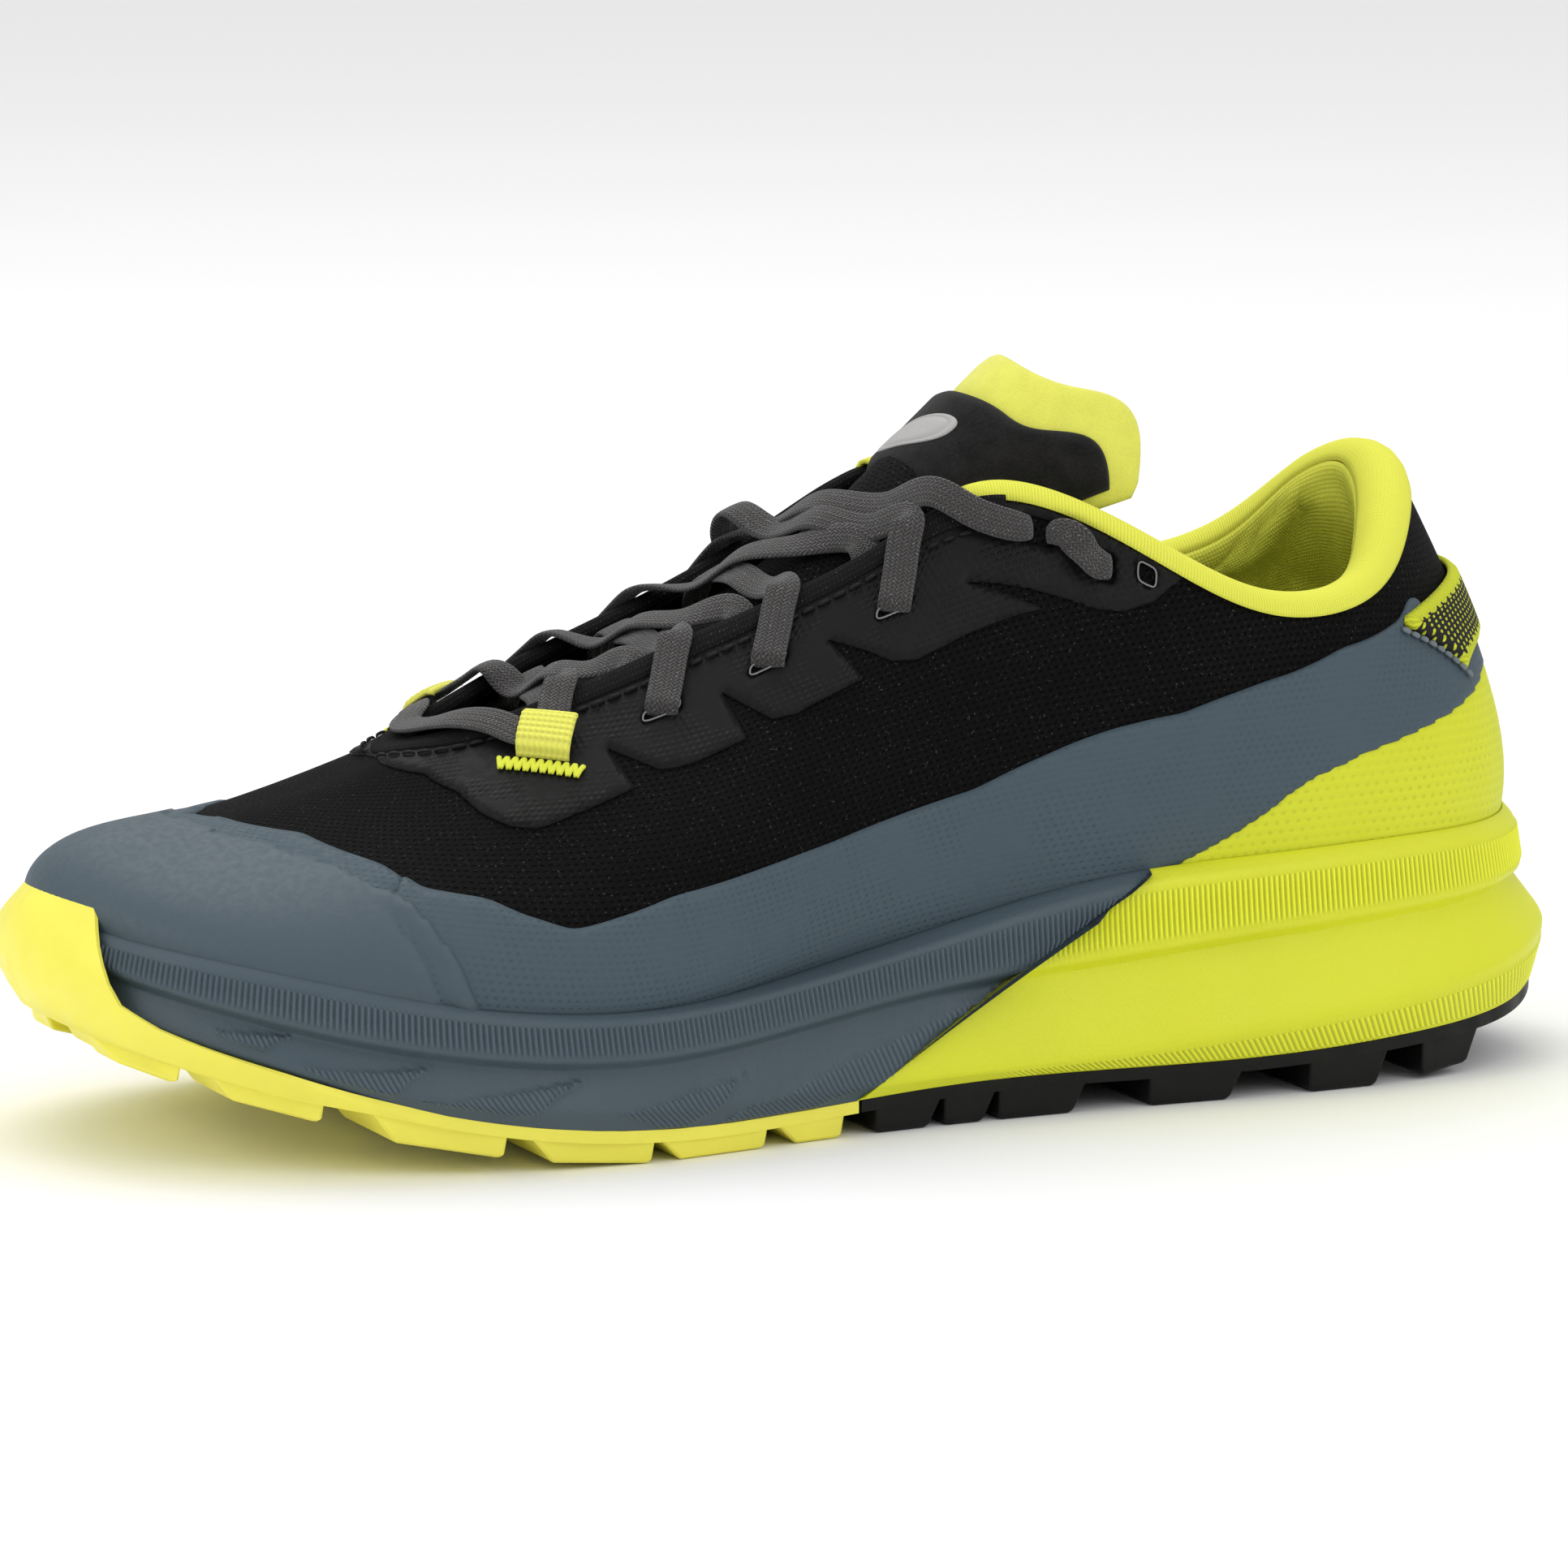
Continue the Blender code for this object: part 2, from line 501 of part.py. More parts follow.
def add_collar(mats):
    """Foam roll round the ankle, and the lining that covers it and the heel inside."""
    pad = curve(PAD)
    outer, inner = [], []
    for s in columns(-PAD_FRONT, PAD_FRONT):
        full = pad(s)
        rows = (2.5, 3.0, 3.5, 4.0)
        thick = (0.5, 0.6 * full, full, full)
        outer.append([UPPER.at(s, r, -1.5) for r in rows])
        inner.append([UPPER.at(s, r, -1.5 - t) for r, t in zip(rows, thick)])
    add_object("collar_foam", shell_mesh(outer, inner), mats["foam"])

    foot_side, foam_side = [], []
    for s in columns(-COLLAR_FRONT, COLLAR_FRONT):
        full = 1.5 + pad(s) + GAP
        roll = 1.0 + 0.5 * pad(s)
        wall = ((0.06, 3.0), (1, 3.0), (2, 3.0), (2.5, 3.0), (3.0, max(3.0, 0.6 * full + 1)), (3.5, full + 0.1),
                (4.0, full))
        over = ((0.6 * roll, 0.85 * full), (roll, 0.45 * full), (0.7 * roll, 0.12 * full))
        cloth = LINING[1] - LINING[0]
        foot_side.append([UPPER.at(s, r, -d - cloth) for r, d in wall]
                         + [UPPER.over(s, u + cloth, -d - cloth * k) for (u, d), k in zip(over, (1, 0, -1))])
        foam_side.append([UPPER.at(s, r, -d) for r, d in wall] + [UPPER.over(s, u, -d) for u, d in over])
    add_object("collar_lining", shell_mesh(foot_side, foam_side), mats["lining"])


# ---------------------------------------------------------------- tongue
def tongue_at(u, q, lift=0.0):
    """Point on the tongue: u from 0 at its root to 1 at its tip, q from -1 lateral to 1 medial."""
    knots = np.linspace(0, 1, len(TONGUE_LINE))
    near = np.clip([u - 0.01, u, u + 0.01], 0, None)
    before, centre, after = spline(knots, TONGUE_LINE, near)
    along = (after - before) / np.linalg.norm(after - before)
    width, wrap = np.interp(u, knots, TONGUE_HALF_WIDTH), np.interp(u, knots, TONGUE_WRAP)
    out = np.array([-along[1], 0, along[0]])
    point = np.array([centre[0], TONGUE_Y + q * width, centre[1]]) - out * wrap * abs(q) ** 2.4
    slope = 2.4 * wrap * abs(q) ** 1.4 * np.sign(q) / width
    normal = out + np.array([0, slope, 0])
    return point + normal / np.linalg.norm(normal) * lift


def tongue_end(q):
    """How far the tongue reaches along u: its corners stand behind its middle."""
    return 1.0 + 0.085 * abs(q) ** 1.5


def add_tongue_layer(name, start, stop, width, layer, mat, parent):
    """Sheet of the tongue from start to stop, cut across its middle part."""
    sheets = []
    for lift in (layer[1], layer[0]):
        lines = []
        for q in np.linspace(-1, 1, 9) * width:
            end = tongue_end(q) * stop
            lines.append([tongue_at(start + (end - start) * k / 12, q, lift) for k in range(13)])
        sheets.append(lines)
    return add_object(name, shell_mesh(*sheets), mat, parent)


def add_tongue(mats, parent):
    add_tongue_layer("tongue_pad", 0.06, 0.93, 0.92, (-3.6, -0.4), mats["knit"], parent)
    add_tongue_layer("tongue_lining", 0.3, 1.0, 1.0, (-5.0, -4.1), mats["lining"], parent)
    add_tongue_layer("tongue_tip", 0.79, 0.9, 0.9, (0.2, 1.0), mats["suede"], parent)
    outline = [(0.03 * np.cos(a), 0.26 * np.sin(a)) for a in np.arange(16) * np.pi / 8]
    bm = bmesh.new()
    rings = add_verts(bm, [[tongue_at(0.85 + u, q - 0.05, lift) for u, q in outline] for lift in (1.5, 2.1)])
    add_strip(bm, *rings, closed=True)
    for ring in rings:
        bm.faces.new(ring)
    add_object("tongue_badge", bm, mats["silver"], parent)


# ---------------------------------------------------------------- lacing
def place(spot, heelward, up, lift, face):
    """Point of the lace on the upper, in mm from a slot, and the way that one face of the lace looks."""
    station, row = spot
    centre, along, above, normal = UPPER.frame(*spot)
    target = centre + along * np.sign(along[0]) * heelward + above * up
    for _ in range(3):
        here, step = UPPER.beyond(station, row), 0.02
        slopes = np.column_stack([UPPER.beyond(station + step, row) - here, UPPER.beyond(station, row - step) - here])
        move = np.linalg.lstsq(slopes / (step, -step), target - here, rcond=None)[0]
        station, row = station + move[0], row + move[1]
    _, along, above, normal = UPPER.frame(station, min(row, UPPER.rows - 1))
    axes = {"out": normal, "up": above, "heel": along * np.sign(along[0])}
    turn = -1 if face.startswith("-") else 1
    return UPPER.beyond(station, row, lift), axes[face.lstrip("-")] * turn


def on_tongue(x, y, lift):
    """Point over the tongue at a place in plan."""
    u = float(np.interp(x, [tongue_at(k, 0)[0] for k in np.linspace(0, 1, 15)], np.linspace(0, 1, 15)))
    q = (y - TONGUE_Y) / np.interp(u, np.linspace(0, 1, len(TONGUE_LINE)), TONGUE_HALF_WIDTH)
    u = u + 0.006 * abs(q) ** 2.4
    return tongue_at(u, np.clip(q, -1, 1), lift)


def crossing(start, end, ends_under):
    """Over the tongue between two rim points; lace that starts on the inner side passes on top."""
    middle = (2.6, 3.5, 2.4) if start[1] > TONGUE_Y else (2.6, 1.8, 1.6)
    if not ends_under:
        middle = (2.8, 3.7, 4.5)
    points = []
    for k, lift in zip((0.27, 0.5, 0.73), middle):
        p = start + (end - start) * k
        point = on_tongue(p[0], p[1], lift)
        points.append((point, on_tongue(p[0], p[1], lift + 1) - point))
    return points


def up_through(spot, face):
    """From under the rim out through a slot, and back over the eyestay past the rim."""
    reach = rim_reach(spot)
    under = [place(spot, -7.5, reach, UNDER_LIFT, face), place(spot, -4, 0.5 * reach, UNDER_LIFT, face),
             place(spot, -0.4, 1.5, UNDER_LIFT - 0.15, face)]
    turned = face.replace("out", "up")
    inside = [place(spot, 0, up, lift, turned) for up, lift in ((-0.2, -2.9), (-0.3, -1.6), (-0.3, 0), (-0.2, 1.0))]
    back = "out" if face.startswith("-") else "-out"
    over = [(0.4, 1.85), (1.8, OVER_LIFT), (0.5 * reach, OVER_LIFT), (reach - 1, OVER_LIFT + 0.3),
            (reach + 2.2, OVER_LIFT + 0.1)]
    return [*under, *inside, *(place(spot, 0.07 * up, up, lift, back) for up, lift in over)]


def rim_reach(spot):
    """Distance from a slot up to the rim."""
    return float(np.linalg.norm(UPPER.at(*spot) - UPPER.at(spot[0], UPPER.rows - 1)))


def tuck(slots, depth, face):
    """Down through one slot, up through the next, and in for good through the last."""
    into, back = face.replace("out", "heel"), ("-" + face.replace("out", "heel")).replace("--", "")
    first, second, last = slots
    down = ((-1.5, 2.2, face), (-0.3, 1.75, face), (0.1, 0.6, into), (0.1, -0.6, into), (0.15, -1.6, into))
    rise = ((-0.15, -1.6, back), (-0.1, -0.6, back), (-0.1, 0.6, back), (0.3, 1.75, face), (1.5, 2.2, face))
    points = [place(first, -15, rim_reach(first) + 2, OVER_LIFT + 0.8, face),
              place(first, -9.5, 1.2, OVER_LIFT + 0.8, face), place(first, -5, 0.2, OVER_LIFT + 0.4, face)]
    points += [place(first, heel, 0, lift, f) for heel, lift, f in down] + [place(first, 1.4, 0, depth - 0.1, face)]
    points += [place(second, heel, 0, lift, f) for heel, lift, f in rise]
    points += [place(last, heel, 0, lift, f) for heel, lift, f in down]
    return points + [place(last, 1.4, 0, depth - 0.1, face)]


def climb(side, depth):
    """Lace from its webbing loop on one side up to its tucked end."""
    slots = (LATERAL_SLOTS, MEDIAL_SLOTS)
    turn, face = -1 if side else 1, "out"
    loop = LOOPS[side]
    path = [place(loop, -8, 1.2, LOOP_LIFT, face), place(loop, -3.4, -0.4, LOOP_LIFT, face),
            place(loop, -0.3, 1.6, LOOP_LIFT, face), place(loop, 0.2, 5.5, LOOP_LIFT, face),
            place(loop, 0, rim_reach(loop) - 0.5, LOOP_LIFT, face),
            place(loop, 0, rim_reach(loop) + 2.5, LOOP_LIFT - 0.2, face)]
    for k in range(3):
        side = 1 - side
        rise = up_through(slots[side][k], face)
        path += crossing_faces(crossing(path[-1][0], rise[0][0], True), face) + rise
        face = "out" if face.startswith("-") else "-out"
    side = 1 - side
    end = tuck(slots[side][3:], depth, face)
    path += crossing_faces(crossing(path[-1][0], end[0][0], False), face) + end
    station, row = slots[side][5]
    return path + [place((station, row - 0.18 * k), 2.0, 0, depth, face) for k in (1, 2, 3)]


def crossing_faces(points, face):
    turn = -1 if face.startswith("-") else 1
    return [(p, f * turn) for p, f in points]


def lace_path():
    """Whole lace: tucked end, up and down the lateral chain, the bar at the toe, and the medial chain."""
    lateral, medial = climb(0, TUCK_LATERAL), climb(1, TUCK_MEDIAL)
    bar = []
    for station in (9.6, 10.3, 11, 11.7, 12.4):
        bar.append((UPPER.beyond(station, 4.05, 2.7), UPPER.frame(station, 4)[3]))
    return [*lateral[::-1], *bar, *medial]


def ribbon_sections(path, per_span):
    """Rectangular sections of the lace along a smooth curve through its points."""
    points, faces = (np.array(x) for x in zip(*path))
    knots = np.concatenate([[0], np.cumsum(np.linalg.norm(np.diff(points, axis=0), axis=1))])
    at = np.concatenate([np.linspace(a, b, per_span, endpoint=False) for a, b in zip(knots, knots[1:])] + [knots[-1:]])
    centre = spline(knots, points, at)
    face = spline(knots, faces, at)
    run = np.gradient(centre, axis=0)
    run /= np.linalg.norm(run, axis=1, keepdims=True)
    across = np.cross(face, run)
    across /= np.linalg.norm(across, axis=1, keepdims=True)
    face = np.cross(run, across)
    corners = ((1, 1), (-1, 1), (-1, -1), (1, -1))
    return [[c + w * i * LACE_WIDTH / 2 + f * j * LACE_THICKNESS / 2 for i, j in corners]
            for c, w, f in zip(centre, across, face)]


def add_rod(name, sections, mat):
    """Closed body through a row of rings."""
    bm = bmesh.new()
    rings = add_verts(bm, sections)
    for a, b in zip(rings, rings[1:]):
        add_strip(bm, a, b, closed=True)
    bm.faces.new(rings[0])
    bm.faces.new(rings[-1])
    return add_object(name, bm, mat)


def add_lacing(mats):
    path = lace_path()
    add_rod("lace", ribbon_sections(path, 2), mats["lace"])
    for name, end, before in (("lateral", path[0][0], path[1][0]), ("medial", path[-1][0], path[-2][0])):
        axis = (end - before) / np.linalg.norm(end - before)
        face = path[0][1] if name == "lateral" else path[-1][1]
        wide = np.cross(face, axis) / np.linalg.norm(np.cross(face, axis))
        thick = np.cross(axis, wide)
        angles = np.arange(8) * np.pi / 4
        ring = [wide * AGLET[1] / 2 * np.cos(t) + thick * AGLET[2] / 2 * np.sin(t) for t in angles]
        start = end + axis * GAP
        add_rod("aglet_" + name, [[start + r for r in ring], [start + axis * AGLET[0] + r for r in ring]], mats["aglet"])
    for name, loop in zip(("lateral", "medial"), LOOPS):
        profile = [(-8.5, 1.7), (-5, 1.8), (-3.6, 4.0), (4.0, 4.1)]
        section = [(b, n + 0.4) for b, n in profile] + [(b + 0.25, n - 0.4) for b, n in profile[::-1]]
        ends = [[place(loop, h, b, n, "out")[0] for b, n in section] for h in (-4.7, 4.7)]
        add_rod("lace_loop_" + name, ends, mats["webbing_yellow"])


# ---------------------------------------------------------------- the shoe
COLORS = {
    "grey_foam": ((0.105, 0.135, 0.16), 0.62), "yellow_foam": ((0.72, 0.83, 0.06), 0.5),
    "yellow_rubber": ((0.72, 0.83, 0.07), 0.55), "black_rubber": ((0.012, 0.012, 0.013), 0.6),
    "board": ((0.8, 0.79, 0.75), 0.9), "foam": ((0.25, 0.25, 0.25), 0.95), "insole_fabric": ((0.03, 0.03, 0.03), 0.95),
    "knit": ((0.012, 0.012, 0.013), 0.9), "grey_film": ((0.105, 0.135, 0.16), 0.7),
    "yellow_film": ((0.72, 0.83, 0.06), 0.6), "black_film": ((0.016, 0.016, 0.017), 0.65),
    "stiffener": ((0.6, 0.58, 0.52), 0.7), "webbing_black": ((0.02, 0.02, 0.02), 0.9),
    "webbing_yellow": ((0.75, 0.85, 0.06), 0.8), "lining": ((0.74, 0.84, 0.08), 0.92), "suede": ((0.02, 0.02, 0.021), 0.95),
    "silver": ((0.6, 0.61, 0.62), 0.4), "ribbon": ((0.1, 0.11, 0.02), 0.9), "lace": ((0.03, 0.03, 0.032), 0.9),
    "aglet": ((0.02, 0.02, 0.02), 0.3),
}
TONGUE_HINGE = (-62, TONGUE_Y, 60)
INSOLE_HINGE = (-112, 5, 27)


def empty(name, place):
    obj = bpy.data.objects.new(name, None)
    obj.location = (np.array(place) - ORIGIN) * MM
    bpy.context.collection.objects.link(obj)
    bpy.context.view_layer.update()
    return obj


def main():
    for obj in list(bpy.data.objects):
        bpy.data.objects.remove(obj, do_unlink=True)
    mats = {name: material(name, *look) for name, look in COLORS.items()}
    tongue_root, insole_root = empty("tongue_root", TONGUE_HINGE), empty("insole_root", INSOLE_HINGE)
    add_midsole("midsole_front", True, mats["grey_foam"])
    add_midsole("midsole_rear", False, mats["yellow_foam"])
    add_outsole("outsole_forefoot", (5.7, 11), 7, -1, mats["yellow_rubber"])
    add_outsole("outsole_rear", (0, 5.64), 7, 0, mats["black_rubber"])
    add_boards(mats, insole_root)
    add_upper(mats)
    add_collar(mats)
    add_tongue(mats, tongue_root)
    add_lacing(mats)


main()
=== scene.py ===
"""Looks of the laced trail running shoe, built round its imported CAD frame.

Lengths are in millimetres until a mesh is made. A place on the upper is (station, row). Stations go round it:
0 at the heel, 5.5 at the lateral side, 11 at the toe and 16.5 at the medial side (-5.5 is the same place).
Rows go up it, from 0 at the feather line to 4 at the rim.
"""

import bmesh
import bpy
import numpy as np
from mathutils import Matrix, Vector
from mathutils.geometry import delaunay_2d_cdt


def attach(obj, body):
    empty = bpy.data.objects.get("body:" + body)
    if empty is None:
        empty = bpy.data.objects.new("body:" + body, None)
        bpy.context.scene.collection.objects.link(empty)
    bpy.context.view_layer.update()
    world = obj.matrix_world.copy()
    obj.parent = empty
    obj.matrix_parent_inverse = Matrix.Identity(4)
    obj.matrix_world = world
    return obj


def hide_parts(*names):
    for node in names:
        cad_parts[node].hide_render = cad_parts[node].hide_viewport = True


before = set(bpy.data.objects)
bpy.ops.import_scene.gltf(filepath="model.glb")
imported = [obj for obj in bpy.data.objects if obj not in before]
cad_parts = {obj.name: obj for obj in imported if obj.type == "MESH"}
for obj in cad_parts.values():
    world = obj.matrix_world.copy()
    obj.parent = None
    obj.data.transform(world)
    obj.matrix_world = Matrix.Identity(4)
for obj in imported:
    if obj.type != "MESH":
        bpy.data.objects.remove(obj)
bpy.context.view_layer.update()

MM = 0.001
ORIGIN = np.array([-0.13, 2.2, 0.0])        # of the frame, in the coordinates of the nets below
STATIONS = 22

# ---------------------------------------------------------------- nets, the same as the CAD solids have
# The upper: at each station (x, y, z) of the feather line, low wall, mid wall, shoulder and rim.
UPPER_HEEL = [(136, 0, 35), (138.5, 0, 50), (135.5, 0, 69), (129, 0, 87), (119, 0, 108)]
UPPER_TOE = [(-138, 8, 36), (-141.5, 8, 43.5), (-133, 8, 53), (-107, 7, 57), (-74, 5, 67)]
UPPER_LATERAL = [
    [(124, -24, 35), (126, -26, 50), (123.5, -24.5, 68), (117.5, -22, 84), (111, -19.5, 98)],
    [(100, -34, 35), (101, -36, 51), (100.5, -36, 66), (99, -33.5, 78), (98, -30.5, 88)],
    [(72, -35, 34.5), (73, -38, 50), (74, -38.5, 64), (75, -37, 76), (76, -35, 87)],
    [(43, -34, 33), (45, -37, 48), (48, -37.5, 65), (51, -35.5, 81), (54, -32, 98)],
    [(10, -34, 30), (12, -37.5, 42), (18, -37, 62), (24, -33, 84), (28, -23, 109)],
    [(-22, -38, 25), (-20, -42.5, 34), (-13, -41, 55), (-5, -32, 78), (4, -20, 99)],
    [(-50, -44, 21), (-49, -49, 29), (-43, -46.5, 47), (-34, -33, 67), (-24, -16.5, 87)],
    [(-80, -44, 22), (-79.5, -48, 30), (-73, -44, 44), (-62, -30, 60), (-50, -14, 77)],
    [(-108, -36, 27), (-109, -39, 35), (-102, -33.5, 46), (-86, -21, 57), (-66, -9, 71)],
    [(-130, -16, 33), (-132.5, -17, 41), (-126, -12, 49.5), (-103, -5, 57), (-72, -3, 68.5)],
]
UPPER_MEDIAL = [
    [(124, 24, 35), (126, 26, 50), (123.5, 24.5, 68), (118, 22, 86), (112.5, 18.5, 104)],
    [(100, 33, 35), (101, 35, 51), (100.5, 35, 66), (100, 33.5, 80), (99.5, 30.5, 92)],
    [(72, 31, 35), (73, 34, 51), (74, 36, 65), (75, 36, 77), (76, 34.5, 87)],
    [(43, 27, 34), (45, 31, 49), (48, 34.5, 66), (51, 34.5, 82), (53, 32, 97)],
    [(10, 27, 31), (12, 32, 44), (18, 35, 64), (24, 32.5, 85), (28, 24, 109)],
    [(-22, 36, 26), (-20, 41, 36), (-13, 40.5, 57), (-5, 33, 79), (4, 22, 99.5)],
    [(-50, 46, 22), (-49, 51, 31), (-43, 48, 49), (-34, 36, 68), (-24, 19, 87)],
    [(-80, 50, 22.5), (-79.5, 54, 31), (-73, 50, 45), (-62, 36, 61), (-50, 17, 77)],
    [(-108, 46, 27), (-109, 49, 35), (-102, 44, 46), (-86, 31, 57), (-66, 14, 70)],
    [(-129, 30, 33), (-131.5, 32, 41), (-125, 27.5, 49), (-102, 18, 57), (-72, 11, 67.5)],
]
# The sole: plan of the ribbed band's top edge from heel to toe, then height and flare of each row on it.
PLAN_HEEL, PLAN_TOE = (141, 0), (-142.5, 9)
PLAN_LATERAL = [(128, -28), (101, -38.5), (73, -40.5), (44, -40), (12, -41), (-20, -45.5), (-50, -51.5),
                (-81, -50.5), (-111, -41), (-135, -18)]
PLAN_MEDIAL = [(128, 28), (101, 38), (73, 38), (44, 35), (12, 35), (-20, 44.5), (-50, 54), (-81, 56.5),
               (-111, 51.5), (-134, 34.5)]
SOLE_ROWS = [
    # lower edge of the foam
    ([16, 12, 9, 7.5, 7.5, 7.5, 6, 6, 9.5, 17, 24, 27], [3, 3, 2.5, 2, 2, 2, 1.5, 1, 0.5, 0, -1, -1]),
    # ridge where it stands out furthest
    ([25.5, 22, 17, 13.5, 10.5, 9.5, 9, 9.5, 12.5, 19, 27, 30],
     [6, 5.5, 5, 4.5, 4, 3.5, 2.5, 2, 2, 2, 1.5, 1.5]),
    # groove under the ribbed band
    ([34, 32.5, 30, 28.5, 26, 23.5, 19.5, 17, 19, 25, 32, 35], [-1] + [-0.8] * 5 + [-0.5] * 6),
    # foot and top of the band
    ([36, 34.5, 32.5, 30.5, 28, 25.5, 21.5, 19, 21, 27, 34, 37], [1] + [1.5] * 5 + [2] * 4 + [1.5] * 2),
    ([43.5, 43, 42.5, 41.5, 39.5, 33.5, 28, 25.5, 27.5, 33.5, 38.5, 41], [0] * 12),
]
LUG_FLOOR = [(-146, 24), (-134, 17), (-122, 13.5), (-105, 9), (-92, 5), (-79, 3), (-66, 1), (-55, 0),
             (100, 0), (114, 1.5), (128, 4), (136, 7), (146, 10.5)]
MIDSOLE_SPLIT = ((46, 39), (-7, 8))         # (x, z) of the joint between the two foams
RIB_PITCH, RIB_DEPTH = 1.06, 0.42           # of the ribs round the midsole
BAND_FOOT, BAND_TOP = 3.1, 4                # steps up the wall between which the upright ribs lie
TONGUE_LINE = [(-66, 62.5), (-47, 75), (-28, 84), (-9, 94.5), (8, 106), (24, 118.5), (38, 130.5)]
TONGUE_HALF_WIDTH = [13, 18, 20, 20, 19, 21, 25]
TONGUE_DROP = [6, 9, 11.5, 14, 16, 22, 30]  # of its edges under its middle
TONGUE_Y = 1.0

# ---------------------------------------------------------------- edges on the upper: (station, row)
MESH_EDGE = [(0, 2.42), (0.9, 2.42), (1.15, 2.8), (1.28, 3.3), (1.42, 3.4), (1.65, 3.27), (2.35, 3.3),
             (3.0, 2.9), (3.65, 2.35), (5.0, 1.85), (5.95, 1.85), (7.05, 1.95), (7.65, 1.8), (8.2, 2.15),
             (8.6, 2.25), (8.75, 2.4), (9.4, 2.8), (10.3, 2.95), (11, 2.85)]
YELLOW_EDGE = [(0, 2.1), (0.65, 2.1), (1.45, 1.85), (2.2, 1.6), (2.65, 1.35), (3.25, 0.75), (3.85, 0.3),
               (4.3, 0.02)]
CAP_SEAM = [(7.8, 0.02), (8.0, 0.75), (8.2, 1.4), (8.45, 1.85), (8.62, 2.1)]
EYESTAY_EDGE = [(3.75, 3.93), (3.95, 3.55), (4.15, 3.35), (4.35, 3.3), (4.86, 3.38), (5.25, 3.45),
                (4.72, 3.24), (5.55, 3.0), (5.72, 3.05), (6.2, 3.45), (5.9, 3.0), (6.35, 2.97),
                (6.52, 3.03), (6.9, 3.45), (6.68, 2.98), (7.05, 2.98), (7.26, 3.03), (7.65, 3.36),
                (7.42, 2.95), (7.75, 2.86), (8.0, 2.78), (8.2, 2.85), (8.45, 3.05), (8.7, 3.3),
                (9.15, 3.55), (9.9, 3.68), (10.6, 3.8), (11, 3.82)]
LATERAL_SLOTS = [(7.3, 3.5), (6.6, 3.5), (5.75, 3.45), (4.8, 3.78), (4.66, 3.78), (4.28, 3.68)]
MEDIAL_SLOTS = [(14.3, 3.5), (14.95, 3.5), (15.6, 3.5), (16.15, 3.6), (16.28, 3.6), (16.52, 3.6)]
LOOPS = [(8.1, 3.6), (13.75, 3.6)]
EYELETS = [(4.02, 3.78), (16.78, 3.74)]     # round holes behind the last slots


# ---------------------------------------------------------------- smooth surfaces
def knots_of(points):
    """Where each column of a net of points is along its rows, from 0 to 1."""
    step = np.linalg.norm(np.diff(points, axis=1), axis=2).mean(axis=0)
    return np.concatenate([[0.0], np.cumsum(step)]) / step.sum()


def spline(knots, values, at, closed=False):
    """Cubic spline through values, one per knot, at the given parameters."""
    n = len(knots) - 1
    h = np.diff(knots)
    values = np.asarray(values, float)
    flat = values.reshape(len(values), -1)
    slope = np.diff(flat, axis=0) / h[:, None]
    size = n if closed else n + 1
    a, rhs = np.eye(size), np.zeros((size, flat.shape[1]))
    for i in range(0 if closed else 1, n):
        before, after = (i - 1) % n, (i + 1) % size
        a[i] = 0
        a[i, (i - 1) % size] += h[before]
        a[i, i] += 2 * (h[before] + h[i])
        a[i, after] += h[i]
        rhs[i] = 6 * (slope[i] - slope[before])
    m = np.linalg.solve(a, rhs)
    m = np.concatenate([m, m[:1]]) if closed else m
    at = np.asarray(at, float)
    i = np.clip(np.searchsorted(knots, at, side="right") - 1, 0, n - 1)
    w = h[i][:, None]
    b = ((at - knots[i]) / h[i])[:, None]
    c = 1 - b
    out = c * flat[i] + b * flat[i + 1] + ((c**3 - c) * m[i] + (b**3 - b) * m[i + 1]) * w**2 / 6
    return out.reshape((len(at),) + values.shape[1:])


def unit(vectors):
    return vectors / np.linalg.norm(vectors, axis=-1, keepdims=True)


